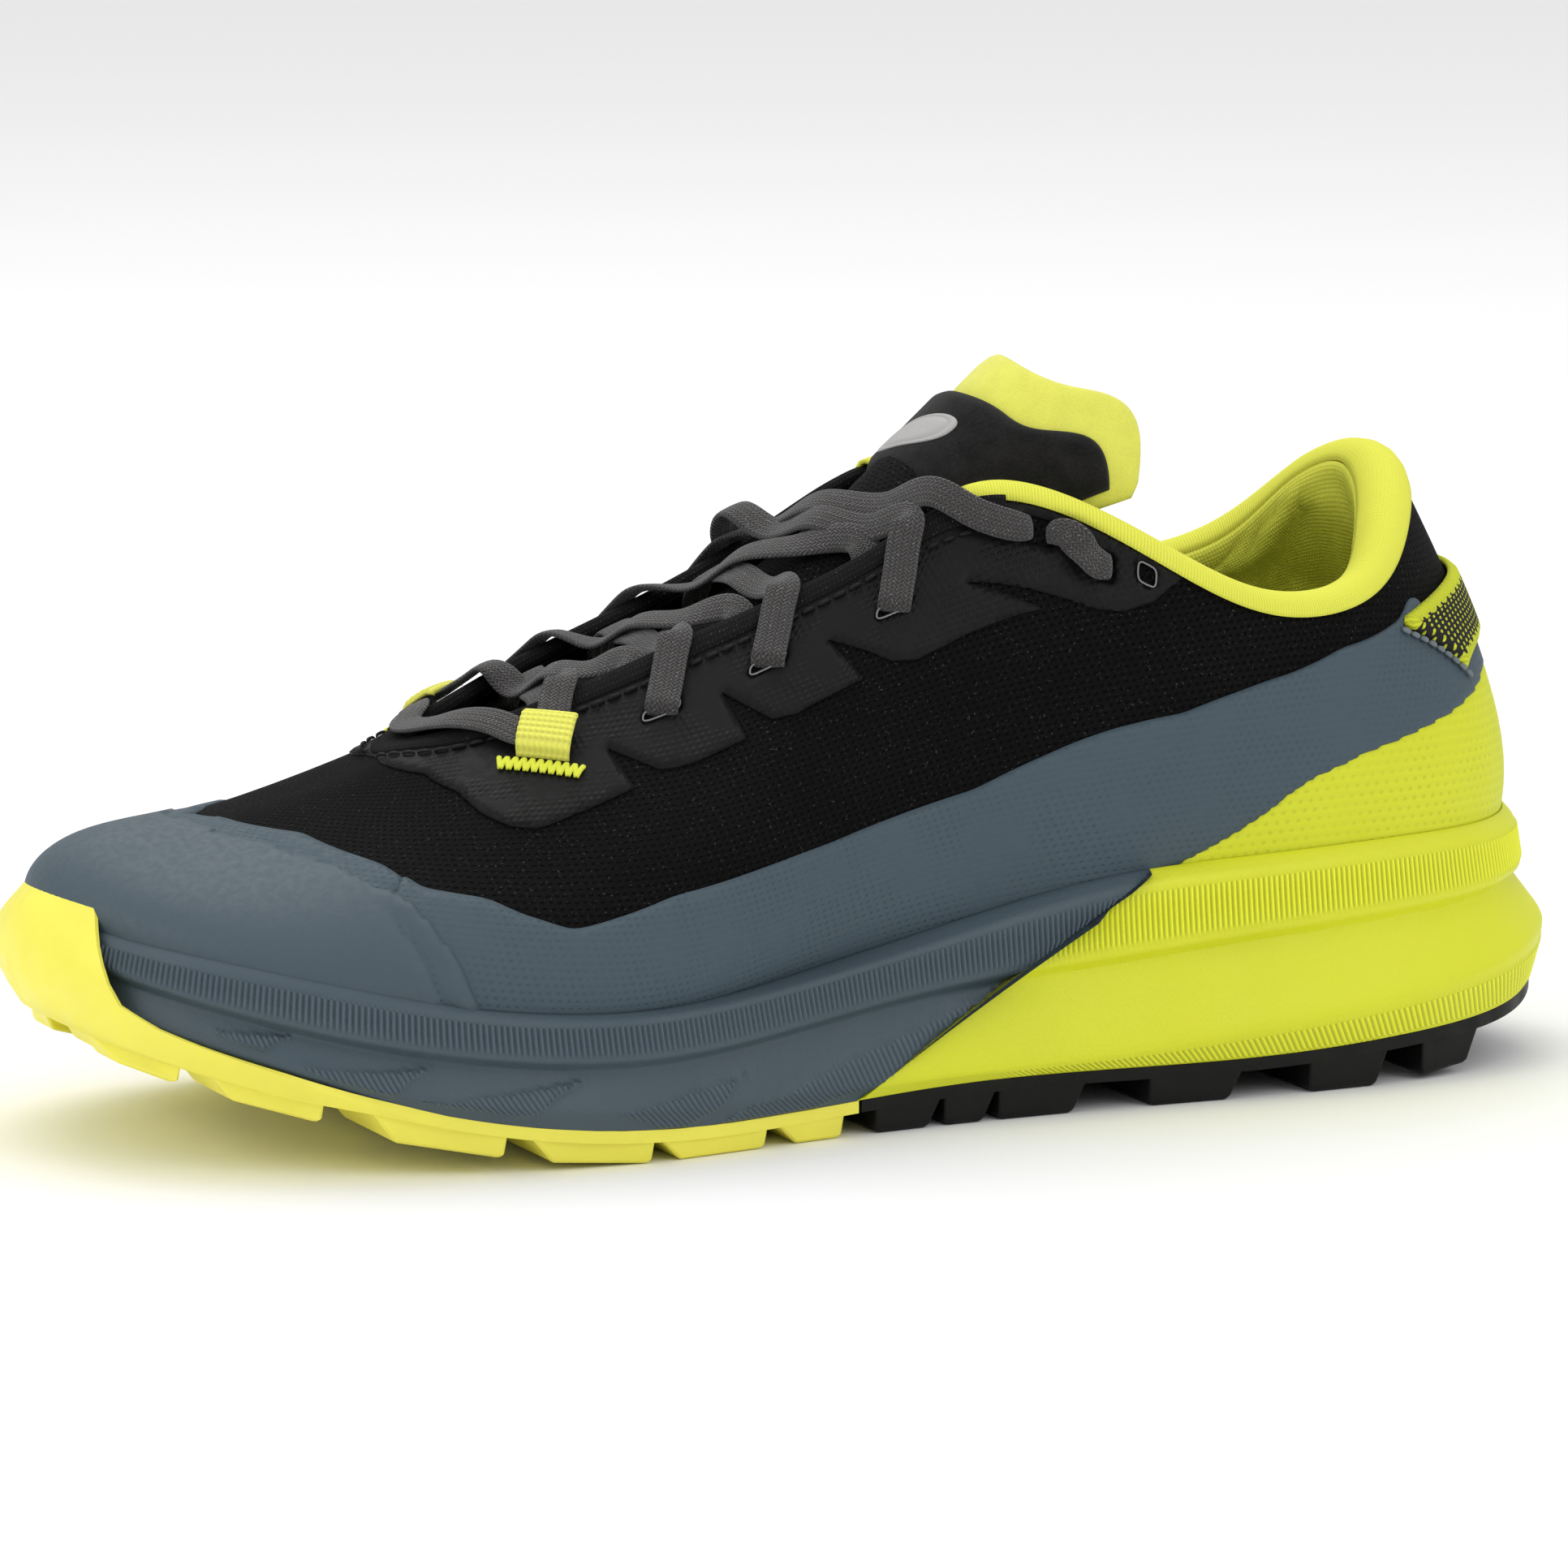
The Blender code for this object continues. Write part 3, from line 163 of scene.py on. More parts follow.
class Skin:
    """Smooth closed band through a net of points: rows go up it, stations go round it."""

    def __init__(self, net, around=2200, up=160):
        net = np.asarray(net, float)
        self.rows = len(net)
        net = np.concatenate([net, net[:, :1]], axis=1)
        self.around_knots, self.up_knots = knots_of(net), knots_of(net.transpose(1, 0, 2))
        columns = spline(self.around_knots, net.transpose(1, 0, 2), np.arange(around) / around, closed=True)
        self.grid = spline(self.up_knots, columns.transpose(1, 0, 2), np.linspace(0, 1, up + 1))
        along = np.roll(self.grid, -1, axis=1) - np.roll(self.grid, 1, axis=1)
        self.normal = unit(np.cross(np.gradient(self.grid, axis=0), along))
        rise = np.linalg.norm(np.diff(self.grid, axis=0), axis=2)
        self.height = np.concatenate([np.zeros((1, around)), np.cumsum(rise, axis=0)])[..., None]
        middle = self.grid[up // 2]
        step = np.linalg.norm(np.roll(middle, -1, axis=0) - middle, axis=1)
        self.girth = np.concatenate([[0.0], np.cumsum(step)])

    def look_up(self, field, station, row):
        """Value between the points of a field as fine as the grid."""
        t = np.interp(np.mod(station, STATIONS), np.arange(STATIONS + 1), self.around_knots) * field.shape[1]
        v = np.interp(row, np.arange(self.rows), self.up_knots) * (field.shape[0] - 1)
        i = np.floor(t).astype(int)
        j = np.clip(np.floor(v).astype(int), 0, field.shape[0] - 2)
        ft, fv = (t - i)[..., None], (v - j)[..., None]
        i, k = i % field.shape[1], (i + 1) % field.shape[1]
        low = field[j, i] * (1 - ft) + field[j, k] * ft
        high = field[j + 1, i] * (1 - ft) + field[j + 1, k] * ft
        return low * (1 - fv) + high * fv

    def at(self, station, row, lift=0.0):
        station, row, lift = np.broadcast_arrays(*(np.asarray(x, float) for x in (station, row, lift)))
        normal = unit(self.look_up(self.normal, station, row))
        return self.look_up(self.grid, station, row) + normal * lift[..., None]

    def frame(self, station, row):
        """Point, direction along the throat, direction up to the rim and outward normal."""
        normal = unit(self.look_up(self.normal, station, row))
        up = self.at(station, np.minimum(row + 0.1, self.rows - 1)) - self.at(station, row - 0.1)
        up = unit(up - normal * (up * normal).sum(axis=-1, keepdims=True))
        return self.at(station, row), np.cross(up, normal), up, normal

    def over(self, station, up, lift):
        """Point a distance up beyond the rim."""
        point, _, above, normal = self.frame(station, np.full(np.shape(station), self.rows - 1.0))
        return point + above * np.asarray(up)[..., None] + normal * np.asarray(lift)[..., None]

    def beyond(self, station, row, lift=0.0):
        """As at(), and for rows past the rim straight on from it."""
        rim = self.rows - 1
        if row <= rim:
            return self.at(station, row, lift)
        pitch = np.linalg.norm(self.at(station, rim) - self.at(station, rim - 0.1)) / 0.1
        return self.over(station, (row - rim) * pitch, lift)

    def flat(self, station, row):
        """Place on the cloth as if laid flat: mm round and mm up."""
        station, row = np.broadcast_arrays(np.asarray(station, float), row)
        turns = np.floor(station / STATIONS)
        column = np.interp(station - turns * STATIONS, np.arange(STATIONS + 1), self.around_knots)
        around = np.interp(column, np.linspace(0, 1, len(self.girth)), self.girth)
        up = self.look_up(self.height, station, row)[..., 0]
        return np.stack([around + turns * self.girth[-1], up], -1)


def net_of(heel, lateral, toe, medial):
    return np.array([heel, *lateral, toe, *medial[::-1]], float).transpose(1, 0, 2)


def sole_net():
    """Rows of the sole: its plan moved out by each row's flare, at that row's heights."""
    plan = np.array([PLAN_HEEL, *PLAN_LATERAL, PLAN_TOE, *PLAN_MEDIAL[::-1]], float)
    along = np.roll(plan, -1, axis=0) - np.roll(plan, 1, axis=0)
    outward = np.stack([-along[:, 1], along[:, 0]], 1) / np.linalg.norm(along, axis=1, keepdims=True)
    outward *= np.sign(outward[0, 0])
    net = []
    for heights, flares in SOLE_ROWS:
        z, flare = np.array([*heights, *heights[-2:0:-1]]), np.array([*flares, *flares[-2:0:-1]])
        net.append(np.column_stack([plan + outward * flare[:, None], z]))
    return net


UPPER = Skin(net_of(UPPER_HEEL, UPPER_LATERAL, UPPER_TOE, UPPER_MEDIAL))
SOLE = Skin(sole_net())


def edge(points):
    """Row of an edge at a station, the same on both sides of the shoe."""
    stations, rows = zip(*points)
    return lambda s: np.interp(np.minimum(np.mod(s, STATIONS), np.mod(-s, STATIONS)), stations, rows)


def smooth_step(x, low, high):
    x = np.clip((x - low) / (high - low), 0, 1)
    return x * x * (3 - 2 * x)


# ---------------------------------------------------------------- meshes
def add_mesh(name, points, faces, mat, body="shoe", uv=None):
    """Piece through points in mm; uv holds one place in mm for each corner of each face."""
    mesh = bpy.data.meshes.new(name)
    points = (np.asarray(points, float).reshape(-1, 3) - ORIGIN) * MM
    faces = faces.tolist() if isinstance(faces, np.ndarray) else faces
    mesh.from_pydata(points.tolist(), [], faces)
    if uv is not None:
        layer = mesh.uv_layers.new(name="cloth")
        layer.data.foreach_set("uv", np.asarray(uv, np.float32).ravel())
    mesh.polygons.foreach_set("use_smooth", [True] * len(mesh.polygons))
    mesh.materials.append(mat)
    mesh.update()
    obj = bpy.data.objects.new(name, mesh)
    bpy.context.scene.collection.objects.link(obj)
    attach(obj, body)
    return obj


def grid_faces(n, m, wrap_n=False, wrap_m=False):
    i, j = np.meshgrid(np.arange(n if wrap_n else n - 1), np.arange(m if wrap_m else m - 1), indexing="ij")
    i2, j2 = (i + 1) % n, (j + 1) % m
    return np.stack([i * m + j, i * m + j2, i2 * m + j2, i2 * m + j], -1).reshape(-1, 4)


def grid_uv(uv):
    """Place of each corner of each face; a wrapped grid's places go one row or column further."""
    return np.stack([uv[:-1, :-1], uv[:-1, 1:], uv[1:, 1:], uv[1:, :-1]], -2).reshape(-1, 2)


def loft(name, points, mat, uv=None, wrap=(False, False), body="shoe", cap=False):
    """Surface through a grid of points; a wrapped direction closes on itself, and cap fills both ends."""
    points = np.asarray(points, float)
    n, m = points.shape[:2]
    faces = grid_faces(n, m, *wrap)
    corners = None if uv is None else grid_uv(uv)
    if cap:
        ends = [list(range(m))[::-1], [(n - 1) * m + k for k in range(m)]]
        faces = faces.tolist() + ends
        if corners is not None:
            corners = np.concatenate([corners, np.zeros((2 * m, 2))])
    return add_mesh(name, points, faces, mat, body, corners)


def face_out(obj):
    """Turn every face outward."""
    bm = bmesh.new()
    bm.from_mesh(obj.data)
    bmesh.ops.recalc_face_normals(bm, faces=bm.faces)
    bm.to_mesh(obj.data)
    bm.free()
    return obj


def solidify(obj, thickness):
    """Thickness given to a surface, behind it."""
    modifier = obj.modifiers.new("thickness", "SOLIDIFY")
    modifier.thickness = thickness * MM
    modifier.offset = -1
    return obj


def tube(points, radius, sides=8, flat=1.0, closed=False, face=None):
    """Rings round a line of points; face is the way that its flattened side looks."""
    points = np.asarray(points, float)
    if closed:
        run = unit(np.roll(points, -1, axis=0) - np.roll(points, 1, axis=0))
    else:
        run = unit(np.gradient(points, axis=0))
    face = np.broadcast_to(np.array([0, 0, 1.0]) if face is None else face, points.shape)
    across = unit(np.cross(face, run))
    face = np.cross(run, across)
    turn = np.arange(sides) * 2 * np.pi / sides
    x, y = np.cos(turn)[None, :, None], np.sin(turn)[None, :, None] * flat
    return points[:, None] + (across[:, None] * x + face[:, None] * y) * radius


def many_tubes(name, rings, mat, body="shoe", closed=False):
    """One piece out of several tubes, each closed at its ends."""
    points, faces, start = [], [], 0
    for ring in rings:
        n, m = ring.shape[:2]
        faces += (grid_faces(n, m, closed, True) + start).tolist()
        if not closed:
            faces += [[start + k for k in range(m)][::-1], [start + (n - 1) * m + k for k in range(m)]]
        points.append(ring.reshape(-1, 3))
        start += n * m
    return face_out(add_mesh(name, np.concatenate(points), faces, mat, body))


# ---------------------------------------------------------------- films: sheets cut out and laid on the upper
FLAT = np.array([26.0, 18.0])               # mm of a station and of a row, near enough for cutting


def walk(points, step):
    """Points along a closed outline of straight stretches, no further apart than step."""
    out = []
    for a, b in zip(points, np.roll(points, -1, axis=0)):
        count = max(1, int(np.ceil(np.linalg.norm(b - a) / step)))
        out += [a + (b - a) * k / count for k in range(count)]
    return np.array(out)


def rounded(points, radius, arc=5):
    """Closed outline with each corner cut to a curve."""
    points = np.asarray(points, float)
    out = []
    for a, b, c in zip(np.roll(points, 1, axis=0), points, np.roll(points, -1, axis=0)):
        r1, r2 = (min(radius, np.linalg.norm(x - b) * 0.45) for x in (a, c))
        p, q = b + unit(a - b) * r1, b + unit(c - b) * r2
        for t in np.linspace(0, 1, arc):
            out.append((1 - t) ** 2 * p + 2 * t * (1 - t) * b + t * t * q)
    return np.array(out)


def inside(points, loop):
    """Which points lie inside a closed outline."""
    x, y = points[:, 0], points[:, 1]
    odd = np.zeros(len(points), bool)
    for (x1, y1), (x2, y2) in zip(loop, np.roll(loop, -1, axis=0)):
        if y1 != y2:
            cross = (y1 > y) != (y2 > y)
            odd ^= cross & (x < (x2 - x1) * (y - y1) / (y2 - y1) + x1)
    return odd


def distance_to(points, loop):
    """How far each point is from a closed outline."""
    near = np.full(len(points), np.inf)
    for start, step in zip(loop, np.roll(loop, -1, axis=0) - loop):
        t = np.clip(((points - start) @ step) / max(step @ step, 1e-12), 0, 1)
        near = np.minimum(near, np.linalg.norm(points - start - t[:, None] * step, axis=1))
    return near


def on_sheet(points, loops):
    """Which points lie inside the first outline and outside the others, its holes."""
    keep = inside(points, loops[0])
    for hole in loops[1:]:
        keep &= ~inside(points, hole)
    return keep


def nearest(points, loops):
    return np.min([distance_to(points, loop) for loop in loops], axis=0)


def cut_sheet(loops, spacing):
    """Triangles that fill an outline with holes: staggered points, joined to the outlines' own."""
    low, high = loops[0].min(axis=0), loops[0].max(axis=0)
    steps = np.arange(low[0], high[0], spacing), np.arange(low[1], high[1], spacing * 0.87)
    x, y = np.meshgrid(*steps, indexing="ij")
    x = x + (np.arange(x.shape[1]) % 2 * spacing / 2)[None, :]
    field = np.column_stack([x.ravel(), y.ravel()])
    field = field[on_sheet(field, loops)]
    field = field[nearest(field, loops) > spacing * 0.5]
    edges, count = [], 0
    for loop in loops:
        edges += [(count + k, count + (k + 1) % len(loop)) for k in range(len(loop))]
        count += len(loop)
    points = np.concatenate([*loops, field])
    made, _, faces, *_ = delaunay_2d_cdt([tuple(p) for p in points], edges, [], 0, 1e-4)
    made = np.array([tuple(p) for p in made])
    faces = np.array([f for f in faces if len(f) == 3])
    faces = faces[on_sheet(made[faces].mean(axis=1), loops)]
    used = np.unique(faces)
    return made[used], np.searchsorted(used, faces)


def film(name, outline, lift, mat, holes=(), spacing=1.3, thick=0.9, round_off=2.0, soft=0.7, shape=None):
    """Sheet cut to an outline of (station, row), laid on the upper and sunk into it at its edges."""
    loops = [walk(rounded(np.array(outline) * FLAT, round_off), spacing)]
    loops += [walk(np.array(hole) * FLAT, spacing * 0.6) for hole in holes]
    made, faces = cut_sheet(loops, spacing)
    place = made / FLAT
    height = 0.1 + (lift - 0.1) * smooth_step(nearest(made, loops), -0.2, soft)
    if shape is not None:
        height = height + shape(place[:, 0], place[:, 1])
    points = UPPER.at(place[:, 0], place[:, 1], height)
    turned = np.cross(points[faces[:, 1]] - points[faces[:, 0]], points[faces[:, 2]] - points[faces[:, 0]])
    outward = UPPER.look_up(UPPER.normal, place[faces[:, 0], 0], place[faces[:, 0], 1])
    flip = (turned * outward).sum(axis=1) < 0
    faces[flip] = faces[flip][:, ::-1]
    obj = add_mesh(name, points, faces, mat, uv=UPPER.flat(place[:, 0], place[:, 1])[faces.ravel()])
    return solidify(obj, thick)


def both_ways(points):
    """Edge of the lateral side from the toe end back to the heel, and on along the medial side."""
    return [*points[::-1], *[(-s, r) for s, r in points if s > 0]]


# ---------------------------------------------------------------- materials
class Look:
    """A material under construction: each method adds a node and returns what it gives."""

    def __init__(self, name, color, roughness, sheen=0.0, coat=0.0, specular=0.5):
        self.material = bpy.data.materials.new(name)
        self.material.use_nodes = True
        self.tree = self.material.node_tree
        self.shader = self.tree.nodes["Principled BSDF"]
        self.color = color
        self.shader.inputs["Base Color"].default_value = (*color, 1)
        self.shader.inputs["Roughness"].default_value = roughness
        self.shader.inputs["Sheen Weight"].default_value = sheen
        self.shader.inputs["Coat Weight"].default_value = coat
        self.shader.inputs["Specular IOR Level"].default_value = specular
        self.height = None

    def put(self, socket, value):
        if isinstance(value, bpy.types.NodeSocket):
            self.tree.links.new(value, socket)
        else:
            socket.default_value = value

    def node(self, kind, values=(), **settings):
        node = self.tree.nodes.new("ShaderNode" + kind)
        for key, value in settings.items():
            setattr(node, key, value)
        for key, value in dict(values).items():
            self.put(node.inputs[key], value)
        return node

    def math(self, operation, *values):
        return self.node("Math", enumerate(values), operation=operation).outputs[0]

    def plus(self, one, two):
        return self.math("ADD", one, two)

    def minus(self, one, two):
        return self.math("SUBTRACT", one, two)

    def times(self, one, two):
        return self.math("MULTIPLY", one, two)

    def over(self, one, two):
        return self.math("DIVIDE", one, two)

    def place(self):
        """Place in the object, in mm."""
        source = self.node("TexCoord").outputs["Object"]
        return self.node("VectorMath", {0: source, "Scale": 1 / MM}, operation="SCALE").outputs[0]

    def cloth(self):
        """Place on the flat cloth, in mm: across and along."""
        split = self.node("SeparateXYZ", {0: self.node("UVMap", uv_map="cloth").outputs[0]})
        return split.outputs[0], split.outputs[1]

    def noise(self, where, scale, detail=2.0, roughness=0.5):
        values = {"Vector": where, "Scale": scale, "Detail": detail, "Roughness": roughness}
        return self.node("TexNoise", values).outputs["Fac"]

    def step(self, value, low, high, out_low=0.0, out_high=1.0):
        values = {"Value": value, "From Min": low, "From Max": high, "To Min": out_low, "To Max": out_high}
        return self.node("MapRange", values, interpolation_type="SMOOTHSTEP").outputs["Result"]

    def mix(self, amount, one, two):
        node = self.node("Mix", data_type="RGBA")
        for socket, value in ((node.inputs[0], amount), (node.inputs[6], one), (node.inputs[7], two)):
            plain = not isinstance(value, (bpy.types.NodeSocket, float))
            self.put(socket, (*value, 1) if plain and len(value) == 3 else value)
        return node.outputs[2]

    def shade(self, amount, dark, light):
        """The look's own colour from dark to light times itself."""
        one, two = ([min(1.0, c * k) for c in self.color] for k in (dark, light))
        return self.mix(amount, one, two)

    def paint(self, color, roughness=None):
        self.put(self.shader.inputs["Base Color"], color)
        if roughness is not None:
            self.put(self.shader.inputs["Roughness"], roughness)

    def raise_by(self, height, mm, strength=1.0):
        """Add a relief: height from 0 to 1 stands for this many mm."""
        values = {"Strength": strength, "Distance": mm * MM, "Height": height}
        if self.height is not None:
            values["Normal"] = self.height
        self.height = self.node("Bump", values).outputs[0]
        self.put(self.shader.inputs["Normal"], self.height)

    def cells(self, u, v, pitch_u, pitch_v):
        """Position across and along in cells of which every second row is half a cell on: -0.5 to 0.5."""
        rows = self.over(v, pitch_v)
        odd = self.times(self.math("MODULO", self.math("FLOOR", rows), 2.0), 0.5)
        columns = self.plus(self.over(u, pitch_u), odd)
        return tuple(self.minus(self.math("FRACT", x), 0.5) for x in (columns, rows))

    def length(self, x, y):
        return self.math("SQRT", self.plus(self.times(x, x), self.times(y, y)))

    def wave(self, value, pitch):
        """0 to 1 and back over each pitch."""
        turn = self.times(value, 2 * np.pi / pitch)
        return self.plus(self.times(self.math("SINE", turn), 0.5), 0.5)

    def painted_glints(self, scale, low, high):
        """Fine bright points: painted glints, as of light caught by twisted yarn."""
        return self.step(self.noise(self.place(), scale, 1.0), low, high)


def mesh_look(name, color, hole_shade, yarn_light, pitch=(1.56, 1.3), relief=0.35, glint_strength=0.0, **more):
    """Engineered mesh: staggered holes between bundles of yarn; the holes are painted dark as shade, and the
    yarn carries painted glints.
    """
    look = Look(name, color, **more)
    u, v = look.cloth()
    wander = look.times(look.noise(look.place(), 0.35), 0.5)
    x, y = look.cells(look.plus(u, wander), look.plus(v, wander), *pitch)
    open_cell = look.step(look.length(x, look.times(y, 1.15)), 0.16, 0.34)
    strands = look.wave(look.plus(v, look.times(u, 0.45)), 0.32)
    body = look.plus(look.times(open_cell, 0.8), look.times(strands, 0.2))
    look.raise_by(body, relief)
    patch = look.noise(look.place(), 0.05)
    # painted shade: the holes are darkened to a tenth of the yarn's colour
    color_of = look.mix(open_cell, [c * hole_shade for c in color], look.shade(patch, 0.85, yarn_light))
    # painted glints: bright points on the yarn
    if glint_strength:
        points = look.times(look.painted_glints(2.6, 0.66, 0.78), open_cell)
        color_of = look.mix(points, color_of, [min(1.0, c + glint_strength) for c in color])
    look.paint(color_of)
    return look.material


def foam_look(name, color, roughness=0.5, crest=1.35, groove_shade=0.6):
    """Moulded foam: a skin of fine pores, slight clouds of tone, and ribs painted lighter on their crests and
    darker in their grooves, as highlight and shade.
    """
    look = Look(name, color, roughness, specular=0.4)
    pores = look.noise(look.place(), 1.6, 3.0)
    look.raise_by(look.step(pores, 0.3, 0.7), 0.06, 0.6)
    ahead, way = look.cloth()
    band = look.times(look.step(way, BAND_FOOT, BAND_FOOT + 0.1),
                     look.step(way, BAND_TOP - 0.02, BAND_TOP - 0.12))
    ribbed = look.math("MAXIMUM", band, look.step(way, -0.2, -0.7))
    # painted light and shade on the ribbed bands: rib crests lightened, grooves darkened
    turn = look.times(ahead, 2 * np.pi / RIB_PITCH)
    rib = look.minus(0.5, look.times(look.math("COSINE", turn), 0.5))
    tint = look.shade(look.noise(look.place(), 0.03, 3.0), 0.93, 1.06)
    look.paint(look.mix(look.times(ribbed, 0.8), tint, look.shade(rib, groove_shade, crest)),
               look.step(look.noise(look.place(), 0.08), 0.2, 0.8, roughness - 0.07, roughness + 0.08))
    return look.material


def rubber_look(name, color, roughness=0.5, specular=0.4):
    """Moulded rubber: matt grain and slight random clouds of tone."""
    look = Look(name, color, roughness, specular=specular)
    look.raise_by(look.noise(look.place(), 2.4, 4.0), 0.08, 0.5)
    look.paint(look.shade(look.noise(look.place(), 0.06, 4.0), 0.9, 1.08),
               look.step(look.noise(look.place(), 0.2), 0.3, 0.7, roughness - 0.08, roughness + 0.1))
    return look.material


def film_look(name, color, roughness, pit=0.0, emboss=0.0, grain=0.05, pitch=(2.0, 1.75), tone=(0.94, 1.05),
              **more):
    """Film over the knit: its holes show through as shallow pits, darkened with painted shade, and fingers
    are embossed.
    """
    look = Look(name, color, roughness, **more)
    u, v = look.cloth()
    look.raise_by(look.noise(look.place(), 3.0, 3.0), grain, 0.7)
    tint = look.shade(look.noise(look.place(), 0.04, 3.0), *tone)
    if pit:
        x, y = look.cells(u, v, *pitch)
        flat = look.step(look.length(x, y), 0.1, 0.3)
        faint = look.step(look.noise(look.place(), 0.09, 2.0), 0.25, 0.7)
        depth = look.times(look.minus(1.0, flat), faint)
        look.raise_by(look.minus(1.0, depth), pit)
        # painted shade: the pits are darkened
        tint = look.mix(look.times(depth, 0.4), tint, [c * 0.6 for c in color])
        courses = look.wave(v, pitch[1])
        tint = look.mix(look.times(courses, 0.12), tint, [min(1.0, c * 1.35) for c in color])
    if emboss:
        x, y = look.cells(u, v, 1.5, 1.25)
        bumps = look.step(look.length(x, y), 0.45, 0.12)
        uneven = look.step(look.noise(look.place(), 0.11, 2.0), 0.4, 0.62)
        look.raise_by(look.times(bumps, uneven), emboss)
    look.paint(tint, look.step(look.noise(look.place(), 0.7), 0.3, 0.7, roughness - 0.06, roughness + 0.06))
    return look.material


def woven_look(name, color, pitch=(0.75, 0.62), relief=0.12, light=1.2, dark=0.7, glint_strength=0.0, **more):
    """Plain close weave or fine knit: staggered rounded stitches, painted lighter on their tops and darker
    between them as light and shade, with painted glints.
    """
    look = Look(name, color, **more)
    u, v = look.cloth()
    x, y = look.cells(u, v, *pitch)
    stitch = look.step(look.length(x, y), 0.52, 0.1)
    look.raise_by(stitch, relief)
    # painted light and shade: stitch tops lightened, the gaps between them darkened
    tint = look.shade(stitch, dark, light)
    # painted glints on the stitches
    if glint_strength:
        points = look.times(look.painted_glints(3.4, 0.62, 0.74), stitch)
        tint = look.mix(points, tint, [min(1.0, c + glint_strength) for c in color])
    soft = look.noise(look.place(), 0.06, 3.0)
    look.paint(look.mix(look.times(soft, 0.15), tint, [min(1.0, c * 1.3) for c in color]))
    return look.material


def braid_look(name, color, glint_strength):
    """Flat braided lace: slanting picks that meet in a fine herringbone, painted dark between them as shade
    and bright on them as highlight, with painted glints.
    """
    look = Look(name, color, roughness=0.85, sheen=0.25, specular=0.3)
    u, v = look.cloth()
    side = look.times(look.math("ABSOLUTE", look.minus(look.math("MODULO", look.plus(v, 40.0), 1.6), 0.8)),
                      1.1)
    pick = look.wave(look.plus(u, side), 0.78)
    rib = look.wave(v, 0.8)
    body = look.plus(look.times(pick, 0.65), look.times(rib, 0.35))
    look.raise_by(body, 0.22)
    # painted light and shade: the picks lightened, the gaps between them darkened
    tint = look.shade(body, 0.35, 1.35)
    # painted glints on the picks
    points = look.times(look.painted_glints(3.0, 0.6, 0.72), pick)
    look.paint(look.mix(points, tint, [min(1.0, c + glint_strength) for c in color]))
    return look.material


def rib_look(name, color, pitch, relief=0.3, across=False, dark=0.62, **more):
    """Ribbed webbing or rib knit: ridges along or across, each of small stitches, painted darker in the
    grooves as shade and lighter on the ridges as highlight.
    """
    look = Look(name, color, **more)
    u, v = look.cloth()
    if across:
        u, v = v, u
    ridge = look.wave(v, pitch)
    stitch = look.wave(look.plus(u, look.times(ridge, 0.3)), pitch * 0.8)
    body = look.plus(look.times(ridge, 0.75), look.times(stitch, 0.25))
    look.raise_by(body, relief)
    # painted light and shade: ridges lightened, grooves darkened
    look.paint(look.shade(body, dark, 1.12))
    return look.material


def suede_look(name, color, nap=0.12, light=1.5, sheen=0.2, dark=0.8):
    """Brushed face: a short uneven nap."""
    look = Look(name, color, roughness=0.95, sheen=sheen, specular=0.12)
    fine = look.noise(look.place(), 2.2, 4.0, 0.7)
    look.raise_by(fine, nap)
    brushed = look.plus(look.times(fine, 0.6),
                        look.times(look.noise(look.place(), 0.25, 3.0), 0.4))
    look.paint(look.shade(look.step(brushed, 0.35, 0.65), dark, light))
    return look.material


def ribbon_look(name, black, yellow, half):
    """Heel ribbon: yellow borders with a stepped inner edge, and slanting yellow dots on black between."""
    look = Look(name, black, roughness=0.85, specular=0.3)
    u, v = look.cloth()
    x, y = look.cells(u, v, 1.7, 1.45)
    dots = look.step(look.length(x, look.minus(y, look.times(x, 0.6))), 0.3, 0.2)
    edge_teeth = look.times(look.math("ROUND", look.wave(u, 2.6)), 0.8)
    border = look.step(look.plus(look.math("ABSOLUTE", v), edge_teeth), half - 1.9, half - 1.7)
    yarn = look.wave(look.plus(u, look.times(v, 0.5)), 0.6)
    tint = look.mix(look.math("MAXIMUM", dots, border), black, yellow)
    look.paint(look.mix(look.times(yarn, 0.3), tint, [c * 0.3 for c in black]))
    look.raise_by(look.plus(look.times(yarn, 0.5), look.times(dots, 0.5)), 0.18)
    return look.material


def plain_look(name, color, roughness, grain=0.03, scale=1.5, **more):
    """Small trim and hidden pieces: one colour, broken by fine grain."""
    look = Look(name, color, roughness, **more)
    fine = look.noise(look.place(), scale, 3.0)
    look.raise_by(fine, grain)
    look.paint(look.shade(fine, 0.85, 1.12))
    return look.material


